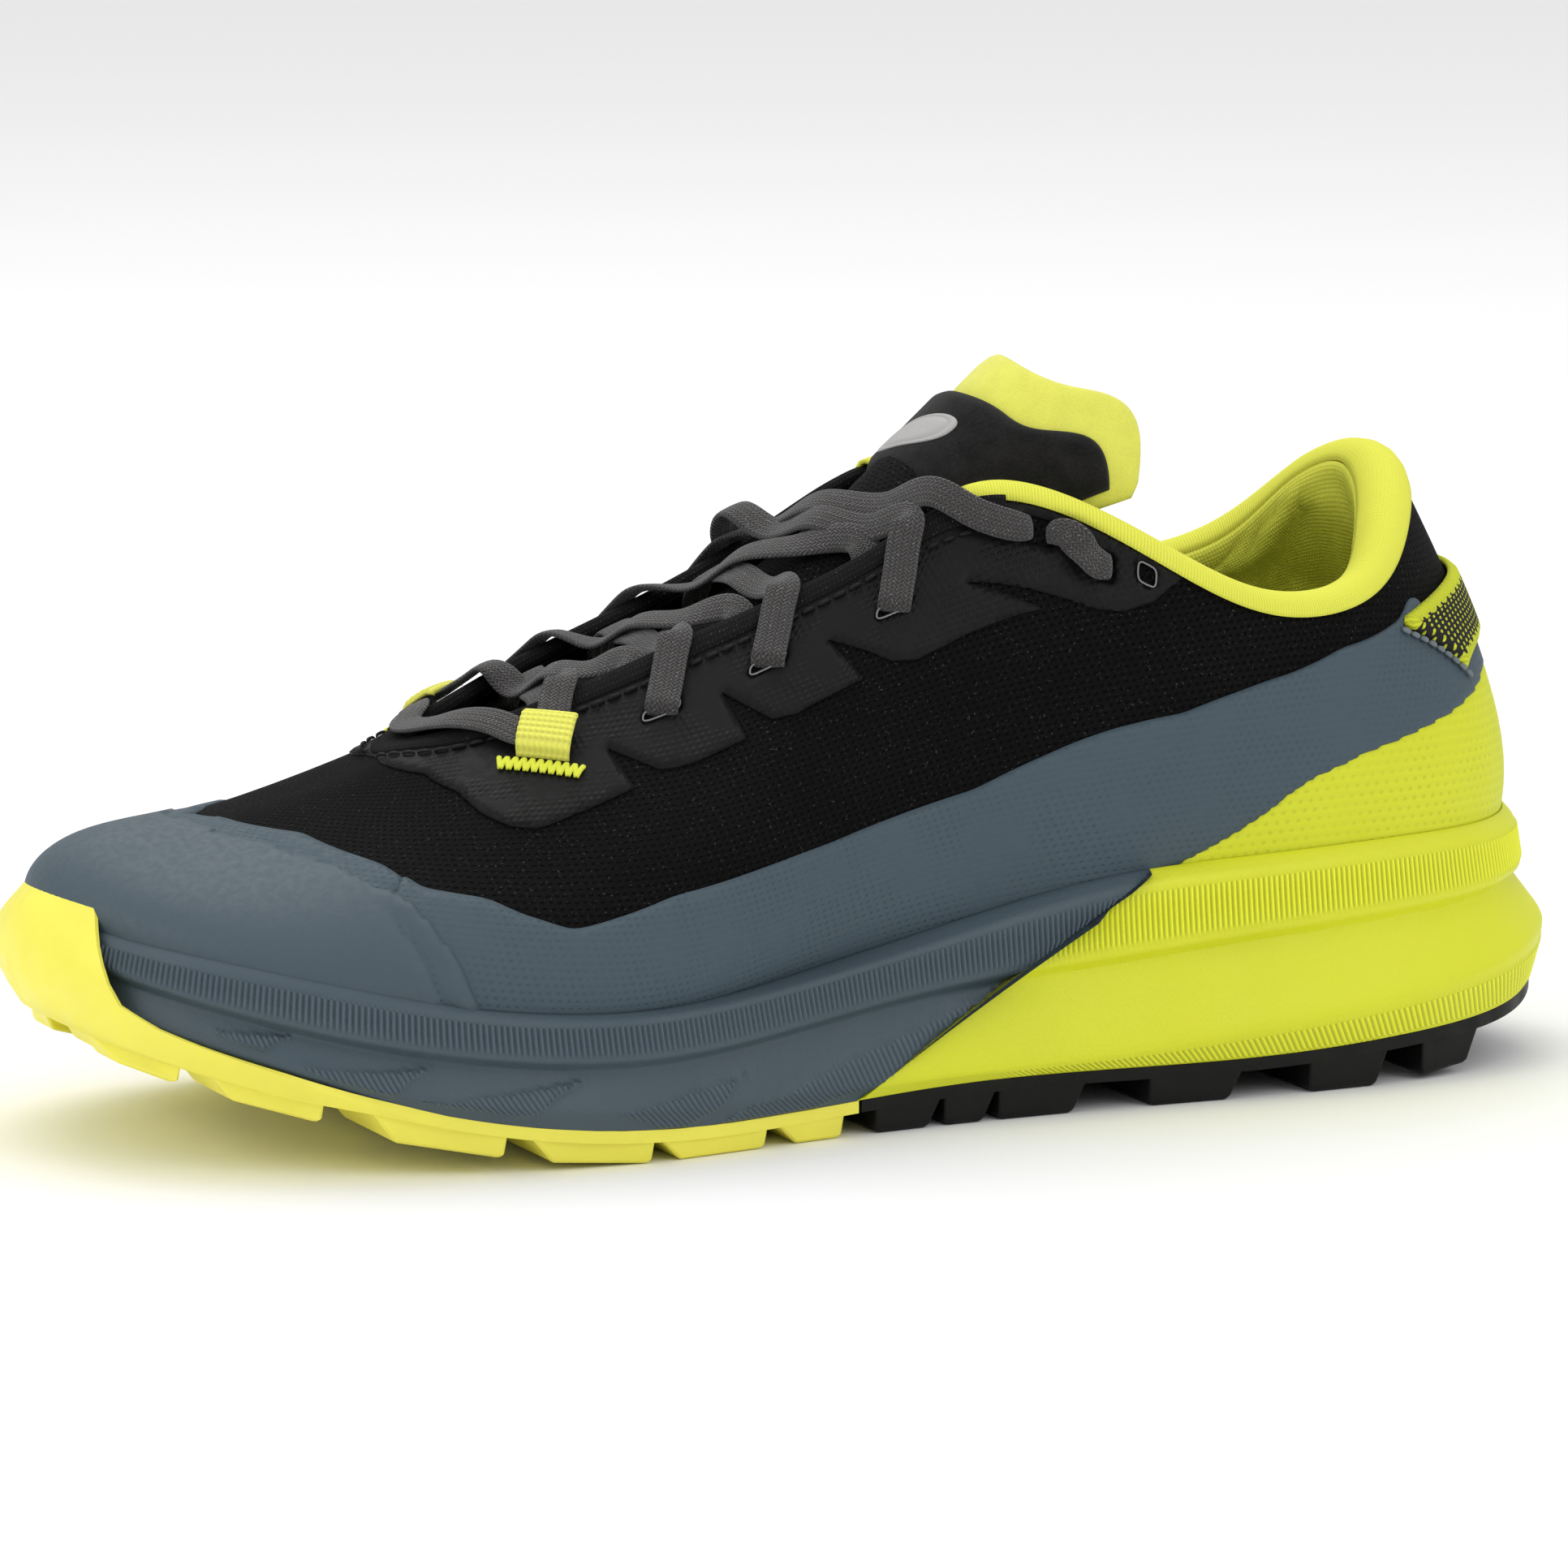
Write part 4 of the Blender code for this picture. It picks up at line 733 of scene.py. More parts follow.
LIME, LEMON, GREY = (0.70, 0.735, 0.022), (0.92, 0.85, 0.10), (0.058, 0.086, 0.107)
BLACK, DARK = (0.0019, 0.0018, 0.0019), (0.005, 0.0048, 0.005)
LOOKS = {
    "knit": mesh_look("engineered_mesh", BLACK, 0.1, 3.2, glint_strength=0.06, roughness=0.75, specular=0.08),
    "tongue_mesh": mesh_look("tongue_mesh", BLACK, 0.12, 2.6, pitch=(1.25, 1.0), relief=0.3, glint_strength=0.09,
                             roughness=0.75, specular=0.1),
    "grey_band": film_look("grey_band", GREY, 0.62, pit=0.1, pitch=(1.56, 1.3), specular=0.3),
    "toe_cap": film_look("toe_cap_film", GREY, 0.55, grain=0.09, tone=(0.96, 1.04), specular=0.4),
    "yellow_band": film_look("yellow_band", (0.64, 0.68, 0.024), 0.58, pit=0.05, grain=0.09, specular=0.3),
    "eyestay": film_look("eyestay_film", DARK, 0.5, emboss=0.16, grain=0.05, tone=(0.85, 1.3), specular=0.16),
    "grey_foam": foam_look("grey_foam", GREY, 0.52),
    "yellow_foam": foam_look("yellow_foam", LIME, 0.48),
    "yellow_rubber": rubber_look("yellow_rubber", LEMON, 0.45),
    "black_rubber": rubber_look("black_rubber", (0.006, 0.006, 0.006), 0.5, 0.2),
    "lining": woven_look("lining_knit", (0.80, 0.82, 0.10), light=1.1, dark=0.8, roughness=0.9, specular=0.2),
    "collar_rib": rib_look("collar_rib", (0.78, 0.79, 0.09), 0.62, relief=0.08, across=True, dark=0.84,
                           roughness=0.85, specular=0.2),
    "tongue_yellow": suede_look("tongue_brushed", (0.76, 0.76, 0.12), 0.1, 1.03, dark=0.93),
    "suede": suede_look("black_suede", (0.0075, 0.0072, 0.0072), 0.12, 2.2, 0.1),
    "lace": braid_look("braided_lace", (0.048, 0.045, 0.044), 0.16),
    "webbing": rib_look("webbing", (0.84, 0.83, 0.14), 1.25, relief=0.3, dark=0.75, roughness=0.8,
                        specular=0.3),
    "ribbon": ribbon_look("heel_ribbon", (0.012, 0.012, 0.012), (0.66, 0.72, 0.03), 8.4),
    "thread_yellow": plain_look("thread_yellow", (0.74, 0.79, 0.05), 0.7, 0.05, 4.0),
    "thread_grey": plain_look("thread_grey", (0.15, 0.18, 0.2), 0.7, 0.05, 4.0),
    "thread_black": plain_look("thread_black", (0.008, 0.008, 0.008), 0.6, 0.05, 4.0, specular=0.2),
    "cut_edge": plain_look("cut_edge", (0.2, 0.2, 0.2), 0.6, 0.03, 4.0),
    "binding": woven_look("throat_binding", (0.009, 0.009, 0.009), roughness=0.85, glint_strength=0.08, specular=0.12),
    "silver": plain_look("silver_print", (0.4, 0.39, 0.38), 0.55, 0.04, 3.0),
    "insole": woven_look("insole_fabric", (0.03, 0.03, 0.031), (1.1, 1.1), roughness=0.95, sheen=0.1),
    "foam": plain_look("open_cell_foam", (0.25, 0.25, 0.25), 0.95, 0.2, 1.2),
    "board": plain_look("board", (0.7, 0.69, 0.65), 0.9, 0.1),
    "stiffener": plain_look("stiffener", (0.5, 0.48, 0.44), 0.7),
    "aglet": plain_look("aglet", (0.02, 0.02, 0.02), 0.3, 0.01, coat=0.4),
}


# ---------------------------------------------------------------- sole unit
RUBBER, WALL_GAP = 2.2, 0.6                 # thickness under the foam, and clear of its wall
WALL_FLAT = (26, 7)                         # mm of a station and of a step up the wall
RIB_LEAN, RIB_STRETCH = 4, 1.1              # of the leaning ribs: mm back for each step up, and wider pitch


def sole_rows(stations):
    """Points of the sole's five rows at each station."""
    return [SOLE.at(stations, row) for row in range(SOLE.rows)]


def bend(a, b, c, radius, count):
    """Rounded corner at b between a and c, for whole rows of points."""
    one, two = a - b, c - b
    p = b + unit(one) * np.minimum(radius, np.linalg.norm(one, axis=-1, keepdims=True) * 0.45)
    q = b + unit(two) * np.minimum(radius, np.linalg.norm(two, axis=-1, keepdims=True) * 0.45)
    return [(1 - t) ** 2 * p + 2 * t * (1 - t) * b + t * t * q for t in np.linspace(0, 1, count)]


def lip_rows(stations):
    """Where the upper's wall meets the midsole: row of the upper at the height of the band's top."""
    rows = np.linspace(0, 2, 81)
    heights = UPPER.at(stations[:, None], rows[None, :])[..., 2]
    top = SOLE.at(stations, SOLE.rows - 1)[:, 2]
    return np.array([np.interp(z, h, rows) for z, h in zip(top, heights)])


def on_wall(corners, w):
    """Wall with rounded corners between the sole's rows: w is 0 at its lower edge and 4 at its top."""
    def straight(x):
        x = np.clip(x, 0, len(corners) - 1)
        low = min(int(x), len(corners) - 2)
        return corners[low] * (low + 1 - x) + corners[low + 1] * (x - low)
    soft = 0.13 if w < 1.7 else 0.06
    return (straight(w - soft) + 2 * straight(w) + straight(w + soft)) / 4


def wall_profile(stations):
    """Midsole wall from its lower edge up to the upper: rows of points, and how far up the wall each is."""
    corners = sole_rows(stations)
    lip = lip_rows(stations)
    crest = UPPER.at(stations, lip + 0.12, 0.9) + (0, 0, 0.6)
    inner = UPPER.at(stations, np.maximum(lip - 0.2, 0), -0.6)
    ways = [*np.linspace(0, 1.9, 20), 1.97, 2.05, 2.3, 2.7, 2.93, 3.05, 3.15, 3.4, 3.65, 3.85]
    rows = [on_wall(corners, w) for w in ways]
    lips = [*bend(corners[3], corners[4], crest, 1.0, 4), corners[4] + (crest - corners[4]) * 0.6,
            *bend(corners[4], crest, inner, 0.8, 3), inner]
    return np.stack(rows + lips, axis=1), np.array(ways + [4.5] * len(lips))


# Ribbed facets low on the forefoot wall, each overlapping the one behind it: (station, way up the wall)
FEATHERS = [
    [(9.58, 1.43), (9.37, 1.63), (9.05, 1.96), (9.13, 1.64), (9.19, 1.31)],
    [(9.12, 1.16), (8.81, 1.33), (8.54, 1.55), (8.29, 1.84), (8.43, 1.31), (8.53, 0.68)],
    [(8.43, 0.62), (8.08, 1.21), (7.73, 1.54), (7.40, 1.84), (7.62, 1.31), (7.79, 0.51)],
    [(7.28, 0.95), (6.81, 1.36), (6.51, 1.49), (6.28, 1.66), (6.48, 1.39), (6.83, 0.0), (7.0, 0.0)],
    [(6.67, 0), (6.37, 0.84), (5.96, 1.27), (5.66, 1.48), (5.37, 1.64), (5.01, 1.84), (4.6, 2.0), (4.9, 1.7),
     (5.21, 1.45), (5.66, 0.75), (5.95, 0.0)],
]


def feather(near, w):
    """How far the facets stand out at stations, and whether their ribs are there."""
    stand, on = np.zeros(len(near)), np.zeros(len(near))
    here = np.column_stack([near, np.full(len(near), w)]) * WALL_FLAT
    for outline in FEATHERS:
        loop = np.array(outline, float) * WALL_FLAT
        within = inside(here, loop)
        edge_gap = np.where(within, distance_to(here, loop), 0)
        tip, start = loop[:, 0].min(), loop[:, 0].max()
        along_it = np.clip((start - here[:, 0]) / (start - tip), 0, 1)
        stand += within * (0.15 + 0.55 * along_it) * np.clip(edge_gap / 0.35, 0, 1)
        on += within * np.clip(edge_gap / 0.5, 0, 1)
    return stand, on


def raised(along_it, pitch):
    """Ribs along a line: 0 between them and 1 on their crests."""
    return 0.5 - 0.5 * np.cos(along_it * 2 * np.pi / pitch)


def ribbed_wall(front, per_rib=5):
    """Midsole wall all round with its ribs raised, and each point's place along them and kind of rib."""
    count = int(SOLE.girth[-1] / RIB_PITCH) * per_rib
    around = np.arange(count) / count * SOLE.girth[-1]
    columns = np.interp(around, SOLE.girth, np.linspace(0, 1, len(SOLE.girth)))
    stations = np.interp(columns, SOLE.around_knots, np.arange(STATIONS + 1))
    near = np.minimum(stations, STATIONS - stations)
    ahead = np.where(stations < STATIONS / 2, around, SOLE.girth[-1] - around)
    heel = smooth_step(near, 5.0, 4.4)
    rows, ways = wall_profile(stations)
    marks = np.stack(np.broadcast_arrays(ahead[:, None], ways), -1)
    outward = unit(SOLE.look_up(SOLE.normal, stations, np.full(count, 3.5)))
    for k, w in enumerate(ways):
        if BAND_FOOT < w < BAND_TOP:
            rows[:, k] += outward * (raised(ahead, RIB_PITCH) * RIB_DEPTH)[:, None]
        if w < 1.95:
            stand, on = feather(near, w) if front else (0, 0)
            ribbed = on + (heel * (0 < w < 0.75) * (not front))
            leant = ahead - w * RIB_LEAN
            ribs = raised(leant, RIB_PITCH * RIB_STRETCH) * RIB_DEPTH * 0.9 * ribbed
            rows[:, k] += outward * (stand + ribs)[:, None]
            leaning = ribbed > 0
            marks[leaning, k] = np.column_stack([leant[leaning] / RIB_STRETCH, -ribbed[leaning]])
    return rows, marks


def cut_at_joint(rows, marks, front):
    """The part of the wall on one side of the foams' joint, its last columns moved on to the joint."""
    (x1, z1), (x2, z2) = MIDSOLE_SPLIT
    normal = np.array([z1 - z2, 0, x2 - x1]) / np.hypot(x1 - x2, z1 - z2) * (-1 if front else 1)
    side = (rows - (x1, 0, z1)) @ normal
    keep = (side > 0).any(axis=1)
    start = int(np.flatnonzero(keep & ~np.roll(keep, 1))[0])
    order = (start + np.arange(keep.sum())) % len(rows)
    rows = rows[order] - np.clip(side[order], None, 0)[..., None] * normal
    return rows, marks[order].reshape(-1, 2)


def add_midsole(name, node, front, mat):
    """Half of the midsole as one closed shell: ribbed wall, lip, and flat top and bottom."""
    rows, marks = cut_at_joint(*ribbed_wall(front), front)
    n, m = rows.shape[:2]
    faces = grid_faces(n, m).tolist()
    for k in range(n // 2 - 1):
        for j, turn in ((0, 1), (m - 1, -1)):
            faces.append([k * m + j, (k + 1) * m + j, (n - 2 - k) * m + j, (n - 1 - k) * m + j][::turn])
    faces.append(list(range(m)) + [(n - 1) * m + j for j in range(m)][::-1])
    corners = np.concatenate([marks[face] for face in faces])
    obj = face_out(add_mesh(name, rows, faces, mat, uv=corners))
    obj.data.set_sharp_from_angle(angle=0.9)
    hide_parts(node)


# How far up the wall the rubber reaches at each station; past 5 it lies on the toe cap
BUMPER = [(8.2, 0), (8.67, 0.35), (9.1, 0.85), (9.5, 1.05), (9.72, 1.25), (9.93, 1.75), (10.08, 3.3),
          (10.18, 4.3), (10.27, 5.2), (10.38, 5.9), (10.5, 6.2), (10.65, 6.3), (10.82, 6.25), (11, 6.2)]


def rubber_line(station, way, lift, wall):
    """Up the toe bumper: straight over the midsole's groove, then on to the toe cap."""
    corners = SOLE.at(station, np.array([0, 1, 3.4]), lift + np.array([0, 0.5, 0.2]) * wall)
    top = UPPER.at(station, np.array([1.0, 2.0]), 1.1 + lift)
    knots = np.array([0, 1, 3.4, 5, 7.5])
    return spline(knots, np.concatenate([corners, top]), way)


def rubber_section(s, inside_face, steps=12, across=12):
    """Rubber at a station: from its lateral top edge down, under the shoe and up to the medial one."""
    wall = smooth_step(s, 8.4, 9.3)
    top = np.interp(s, *zip(*BUMPER))
    side = []
    for station in (s, -s):
        way = np.linspace(0, max(top, 0.02), steps)
        lift = (WALL_GAP if inside_face else WALL_GAP + RUBBER * 0.8) * wall
        fade = np.clip((top - way) / 0.5, 0, 1) ** 0.5
        point = rubber_line(station, way, lift - (0 if inside_face else 0.9 * wall) * (1 - fade.min()), wall)
        point[:, 2] -= (0.0 if inside_face else RUBBER) * np.clip(1 - way, 0, 1)
        side.append(point)
    a, b = side[0][0], side[1][0]
    under = a + (b - a) * (np.arange(1, across) / across)[:, None]
    return np.concatenate([side[0][::-1], under, side[1]])


def add_rubber(name, node, span, mat):
    """Rubber between two stations, as one closed shell."""
    stations = np.linspace(*span, int((span[1] - span[0]) * 14) + 2)
    outer = np.array([rubber_section(s, False) for s in stations])
    inner = np.array([rubber_section(s, True) for s in stations])
    ring = np.concatenate([outer, inner[:, ::-1]], axis=1)
    obj = face_out(loft(name, ring, mat, wrap=(False, True), cap=True))
    bm = bmesh.new()
    bm.from_mesh(obj.data)
    bmesh.ops.remove_doubles(bm, verts=bm.verts, dist=5e-5)
    bm.to_mesh(obj.data)
    bm.free()
    obj.data.set_sharp_from_angle(angle=0.8)
    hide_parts(node)
    return obj


def lug_floor(x):
    """Height of the lugs' feet: they lift at the toe and the heel."""
    return float(np.interp(x, *zip(*LUG_FLOOR)))


def edge_of_sole():
    """Lower edge of the sole on each side: x, y and height."""
    stations = np.linspace(0, 11, 120)
    return SOLE.at(stations, 0), SOLE.at(-stations, 0)


LATERAL_FOOT, MEDIAL_FOOT = edge_of_sole()


def sole_floor(x):
    """Height of the rubber's underside at a place along the shoe."""
    return float(np.interp(x, LATERAL_FOOT[::-1, 0], LATERAL_FOOT[::-1, 2])) - RUBBER


def sole_edges(x):
    """Lateral and medial edge of the tread there."""
    low = np.interp(x, LATERAL_FOOT[::-1, 0], LATERAL_FOOT[::-1, 1])
    high = np.interp(x, MEDIAL_FOOT[::-1, 0], MEDIAL_FOOT[::-1, 1])
    return float(low), float(high)


def lug(x0, x1, across, slope):
    """Lug from x0 to x1 over a share of the sole's width: leaning front, upright back, bevelled foot."""
    top0, top1 = (x0 - slope, x1 + 0.4) if slope > 0 else (x0 - 0.4, x1 - slope)
    rings = []
    for a, b, height, draw in ((top0, top1, 1.2, 0.0), (x0, x1, None, 0.9), (x0 + 0.8, x1 - 0.8, None, 1.5)):
        ring = []
        for x, q in ((a, across[0]), (b, across[0]), (b, across[1]), (a, across[1])):
            low, high = sole_edges(x)
            low, high = low + draw * (q < 0.02), high - draw * (q > 0.98)
            z = sole_floor(x) + height if height else max(lug_floor(x), 0) + (0.7 if draw < 1 else 0)
            ring.append((x, low + (high - low) * q, min(z, sole_floor(x) + 1.2)))
        rings.append(ring)
    return np.array(rings)


def add_lugs(name, lateral, mat, slope):
    """Tread: an outer lug on each side, and two rows of smaller ones between them, set half a step back."""
    points, faces = [], []
    for x0, x1 in lateral:
        back = (x1 - x0) * 0.45
        spans = [(x0, x1, (0.0, 0.25)), (x0, x1, (0.75, 1.0)), (x0 + back, x1 + back - 3, (0.31, 0.48)),
                 (x0 + back, x1 + back - 3, (0.52, 0.69))]
        for a, b, across in spans:
            start = len(points)
            points += lug(a, b, across, slope).reshape(-1, 3).tolist()
            for low, high in ((start, start + 4), (start + 4, start + 8)):
                for k in range(4):
                    n = (k + 1) % 4
                    faces.append([low + k, low + n, high + n, high + k])
            faces += [[start + 3, start + 2, start + 1, start], [start + 8 + k for k in range(4)]]
    obj = face_out(add_mesh(name, points, faces, mat))
    bevel = obj.modifiers.new("edges", "BEVEL")
    bevel.width, bevel.segments, bevel.limit_method = 0.5 * MM, 2, "ANGLE"
    obj.data.set_sharp_from_angle(angle=0.5)
    return obj


# Front and back of each outer lug along the shoe
FRONT_LUGS = [(-136, -128), (-121.5, -108), (-97, -78), (-70, -51), (-46, -28), (-22, -12)]
REAR_LUGS = [(-5, 6), (9, 17), (20, 35), (50, 66), (82, 96), (106, 117)]


def add_sole():
    add_midsole("midsole_front_foam", "midsole_front", True, LOOKS["grey_foam"])
    add_midsole("midsole_rear_foam", "midsole_rear", False, LOOKS["yellow_foam"])
    add_rubber("outsole_forefoot_rubber", "outsole_forefoot", (5.66, 10.999), LOOKS["yellow_rubber"])
    add_rubber("outsole_rear_rubber", "outsole_rear", (0.001, 5.64), LOOKS["black_rubber"])
    add_lugs("outsole_forefoot_lugs", FRONT_LUGS, LOOKS["yellow_rubber"], 4.5)
    add_lugs("outsole_rear_lugs", REAR_LUGS, LOOKS["black_rubber"], -2.5)


def add_footbed():
    """Insole cover: cupped round the heel, with its edge turned up a little."""
    stations = np.arange(0, STATIONS, 1 / 12)
    rim = UPPER.at(stations, 0.0)
    inset = UPPER.at(stations, 0.0, -4.8)
    inset[:, 2] = rim[:, 2]
    middle = (inset + np.roll(inset[::-1], 1, axis=0)) / 2
    rings = []
    for k, height in ((1.0, 1.0), (1.0, 5.6), (0.99, 6.6), (0.96, 7.0), (0.92, 6.4), (0.84, 5.7), (0.7, 5.3),
                      (0.5, 5.15), (0.3, 5.05), (0.1, 5.0)):
        rings.append(middle + (inset - middle) * k + (0, 0, height))
    points = np.array(rings).transpose(1, 0, 2)
    n, m = points.shape[:2]
    faces = grid_faces(n, m, True).tolist()
    half = n // 2
    for k in range(half):
        for j, turn in ((m - 1, 1), (0, -1)):
            faces.append([((x + n) % n) * m + j for x in (k, k + 1, -k - 1, -k)][::turn])
    faces = [list(dict.fromkeys(face)) for face in faces]
    uv = np.concatenate([[points.reshape(-1, 3)[v][:2] for v in face] for face in faces])
    obj = face_out(add_mesh("footbed", points, faces, LOOKS["insole"], "insole", uv))
    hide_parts("insole_cover")


# ---------------------------------------------------------------- upper
def add_knit():
    """Knitted upper as one thin closed shell, folded over at the rim."""
    stations = np.arange(0, STATIONS, 1 / 26)
    rows = np.concatenate([np.linspace(0, 4, 72), [4, 4, 4], np.linspace(4, 0, 14)])
    lifts = np.concatenate([np.zeros(72), [-0.1, -0.6, -1.1], np.full(14, -1.2)])
    points = UPPER.at(stations[:, None], rows[None, :], lifts[None, :])
    points[:, 73] += (UPPER.at(stations, 4.0) - UPPER.at(stations, 3.9)) * 0.2
    uv = UPPER.flat(np.append(stations, STATIONS)[:, None], np.append(rows, rows[:1])[None, :])
    obj = face_out(loft("knit_shell", points, LOOKS["knit"], uv, (True, True)))
    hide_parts("upper_knit")


def add_bands():
    """Grey film round the lower upper, and the yellow film that overlaps it at the heel."""
    front = 8.75
    top = both_ways([p for p in MESH_EDGE if p[0] <= front])
    inner = both_ways(YELLOW_EDGE)[::-1]
    band = film("side_band_skin", [*top, (-front, 0.02), *inner, (front, 0.02)], 0.75, LOOKS["grey_band"])
    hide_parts("side_band_lateral", "side_band_medial")
    outer = both_ways([(s, r + 0.07) for s, r in YELLOW_EDGE[:-1]] + [(4.4, 0.02)])
    heel = film("heel_overlay_skin", outer, 0.6, LOOKS["yellow_band"])
    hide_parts("heel_overlay")


def across_toe(points):
    """Outline from the lateral side over the toe to the medial side."""
    return [*points, *[(STATIONS - s, r) for s, r in points[::-1] if s < 11]]


def add_toe_cap():
    """Smooth cap with a crease behind its seam, on a thin border that the grey band goes on into."""
    border_top = across_toe([(8.7, 2.32), (8.9, 2.51), (9.57, 2.85), (10.56, 2.89), (11, 2.8)])
    foot = [(13.3, 0.02), (12.2, 0.02), (11, 0.02), (9.8, 0.02), (8.7, 0.02)]
    border = film("toe_border", [*border_top, *foot], 0.72, LOOKS["grey_band"])
    seam = [*CAP_SEAM, (8.82, 2.23), (9.11, 2.45), (9.69, 2.67), (10.56, 2.72), (11, 2.64)]

    def crease(station, row):
        ahead = np.minimum(station, STATIONS - station)
        behind = (ahead - np.interp(row, [r for _, r in CAP_SEAM], [s for s, _ in CAP_SEAM])) * FLAT[0]
        fold = np.exp(-((behind - 5.2) / 1.1) ** 2) * smooth_step(row, 2.3, 1.6)
        return 0.3 * smooth_step(behind, 5, 1) * smooth_step(row, 2.5, 2.0) - 0.8 * fold

    cap = film("toe_cap_skin", [*across_toe(seam), (13, 0.02), (11, 0.02), (9, 0.02)], 1.25, LOOKS["toe_cap"],
               shape=crease, thick=1.1)
    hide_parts("toe_cap")


def slot_outline(spot, across_throat, length=7.4, width=2.6):
    """Round-ended slot: its outline in (station, row)."""
    scale = (UPPER.flat(spot[0] + 0.05, spot[1]) - UPPER.flat(spot[0] - 0.05, spot[1]))[0] / 0.1
    rise = (UPPER.flat(spot[0], spot[1] + 0.05) - UPPER.flat(spot[0], spot[1] - 0.05))[1] / 0.1
    turn = np.arange(20) * 2 * np.pi / 20
    x, y = np.cos(turn), np.sin(turn)
    x = np.sign(x) * np.abs(x) ** 0.45 * length / 2
    y = np.sign(y) * np.abs(y) ** 0.7 * width / 2
    if across_throat:
        x, y = y, x
    return [(spot[0] + a / scale, spot[1] + b / rise) for a, b in zip(x, y)]


def add_eyestay():
    """Film round the throat, with a finger between the slots, and their cut edges."""
    holes = [slot_outline(spot, False) for spot in LATERAL_SLOTS[:3] + MEDIAL_SLOTS[:3]]
    holes += [slot_outline(spot, False, 3.6, 3.6) for spot in EYELETS]
    rimmed = len(holes)
    for side in (LATERAL_SLOTS, MEDIAL_SLOTS):
        pair = np.mean([side[3], side[4]], axis=0)
        holes += [slot_outline(pair, False, 6.4, 5.4), slot_outline(side[5], True, 5.4, 2.6)]
    lower = across_toe(EYESTAY_EDGE)
    upper = [(s, 3.985) for s in np.linspace(18.25, 3.75, 60)]
    stay = film("eyestay_skin", [*lower, *upper], 0.65, LOOKS["eyestay"], holes=holes, spacing=1.0,
                round_off=0.7, soft=0.25)
    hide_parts("eyestay")
    rims = []
    for hole in holes[:rimmed]:
        places = np.array(hole)
        line = UPPER.at(places[:, 0], places[:, 1], 0.72)
        rims.append(tube(line, 0.17, 6, closed=True, face=UPPER.frame(places[:, 0], places[:, 1])[3]))
    many_tubes("slot_edges", rims, LOOKS["cut_edge"], closed=True)


def stitches(places, length, gap, radius, lift, flat=0.8):
    """Short threads end to end along a line of (station, row)."""
    line = UPPER.at(places[:, 0], places[:, 1], lift)
    run = np.concatenate([[0], np.cumsum(np.linalg.norm(np.diff(line, axis=0), axis=1))])
    out = []
    for start in np.arange(0, run[-1] - length, length + gap):
        at = start + np.linspace(0, length, 7)
        s, r = np.interp(at, run, places[:, 0]), np.interp(at, run, places[:, 1])
        dip = np.sin(np.linspace(0, np.pi, 7))
        ring = tube(UPPER.at(s, r, lift - 0.35 + 0.35 * dip ** 0.5), 1.0, 6, flat, face=UPPER.frame(s, r)[3])
        middle = ring.mean(axis=1, keepdims=True)
        out.append(middle + (ring - middle) * (radius * (0.35 + 0.65 * dip ** 0.4))[:, None, None])
    return out


def add_throat_trim():
    """Woven binding over the throat's edge, and the line of stitching under it."""
    stations = np.linspace(4.95, 17.05, 420)
    outside = ((3.83, 0.5), (3.835, 1.0), (3.88, 1.25), (3.95, 1.3), (4.0, 1.25))
    top = ((0.7, 0.7), (0.9, -0.4), (0.5, -1.4))
    behind = ((3.95, -1.8), (3.86, -1.8), (3.85, -0.9), (3.85, -0.2))
    rows = [UPPER.at(stations, r, lift) for r, lift in outside]
    rows += [UPPER.over(stations, np.full(420, up), np.full(420, lift)) for up, lift in top]
    rows += [UPPER.at(stations, r, lift) for r, lift in behind]
    points = np.stack(rows, axis=1)
    run = np.arange(420) * 0.8
    uv = np.stack(np.broadcast_arrays(run[:, None], np.arange(len(rows) + 1)[None, :] * 0.8), -1)
    binding = face_out(loft("throat_binding", points, LOOKS["binding"], uv, (False, True), cap=True))
    rings = []
    for start, end in ((4.95, 10.6), (17.05, 11.4)):
        line = np.linspace(start, end, 260)
        rings += stitches(np.column_stack([line, np.full(260, 3.77)]), 2.7, 0.5, 0.42, 1.15)
    many_tubes("throat_stitches", rings, LOOKS["thread_black"])


# ---------------------------------------------------------------- collar
PAD = edge([(0, 6.5), (1, 6.5), (2, 5.5), (3, 4.5), (4, 3.5), (5.3, 2.5)])
COLLAR_FRONT = 5.25


def collar_section(s):
    """Lining from its foot inside the heel, up over the foam and down to the rim's outer edge."""
    full = 1.8 + PAD(s)
    roll = 0.5 + 0.5 * PAD(s)
    wall = [(0.06, 3.0), (1, 3.0), (2, 3.0), (2.5, 3.0), (3.0, max(3.0, 0.6 * full + 1)), (3.5, full + 0.1)]
    over = [(0.62 * roll, 0.86 * full), (roll, 0.47 * full), (0.8 * roll, 0.1 * full), (0.1 * roll, -0.35)]
    points = [UPPER.at(s, r, -d - 0.8) for r, d in wall]
    points.append(UPPER.at(s, 3.98, -full - 0.8))
    points += [UPPER.over(s, up + 0.8, -d - 0.4) for up, d in over[:-1]]
    points.append(UPPER.over(s, over[-1][0], 0.55))
    points.append(UPPER.at(s, 3.96, 0.35))
    return np.array(points)


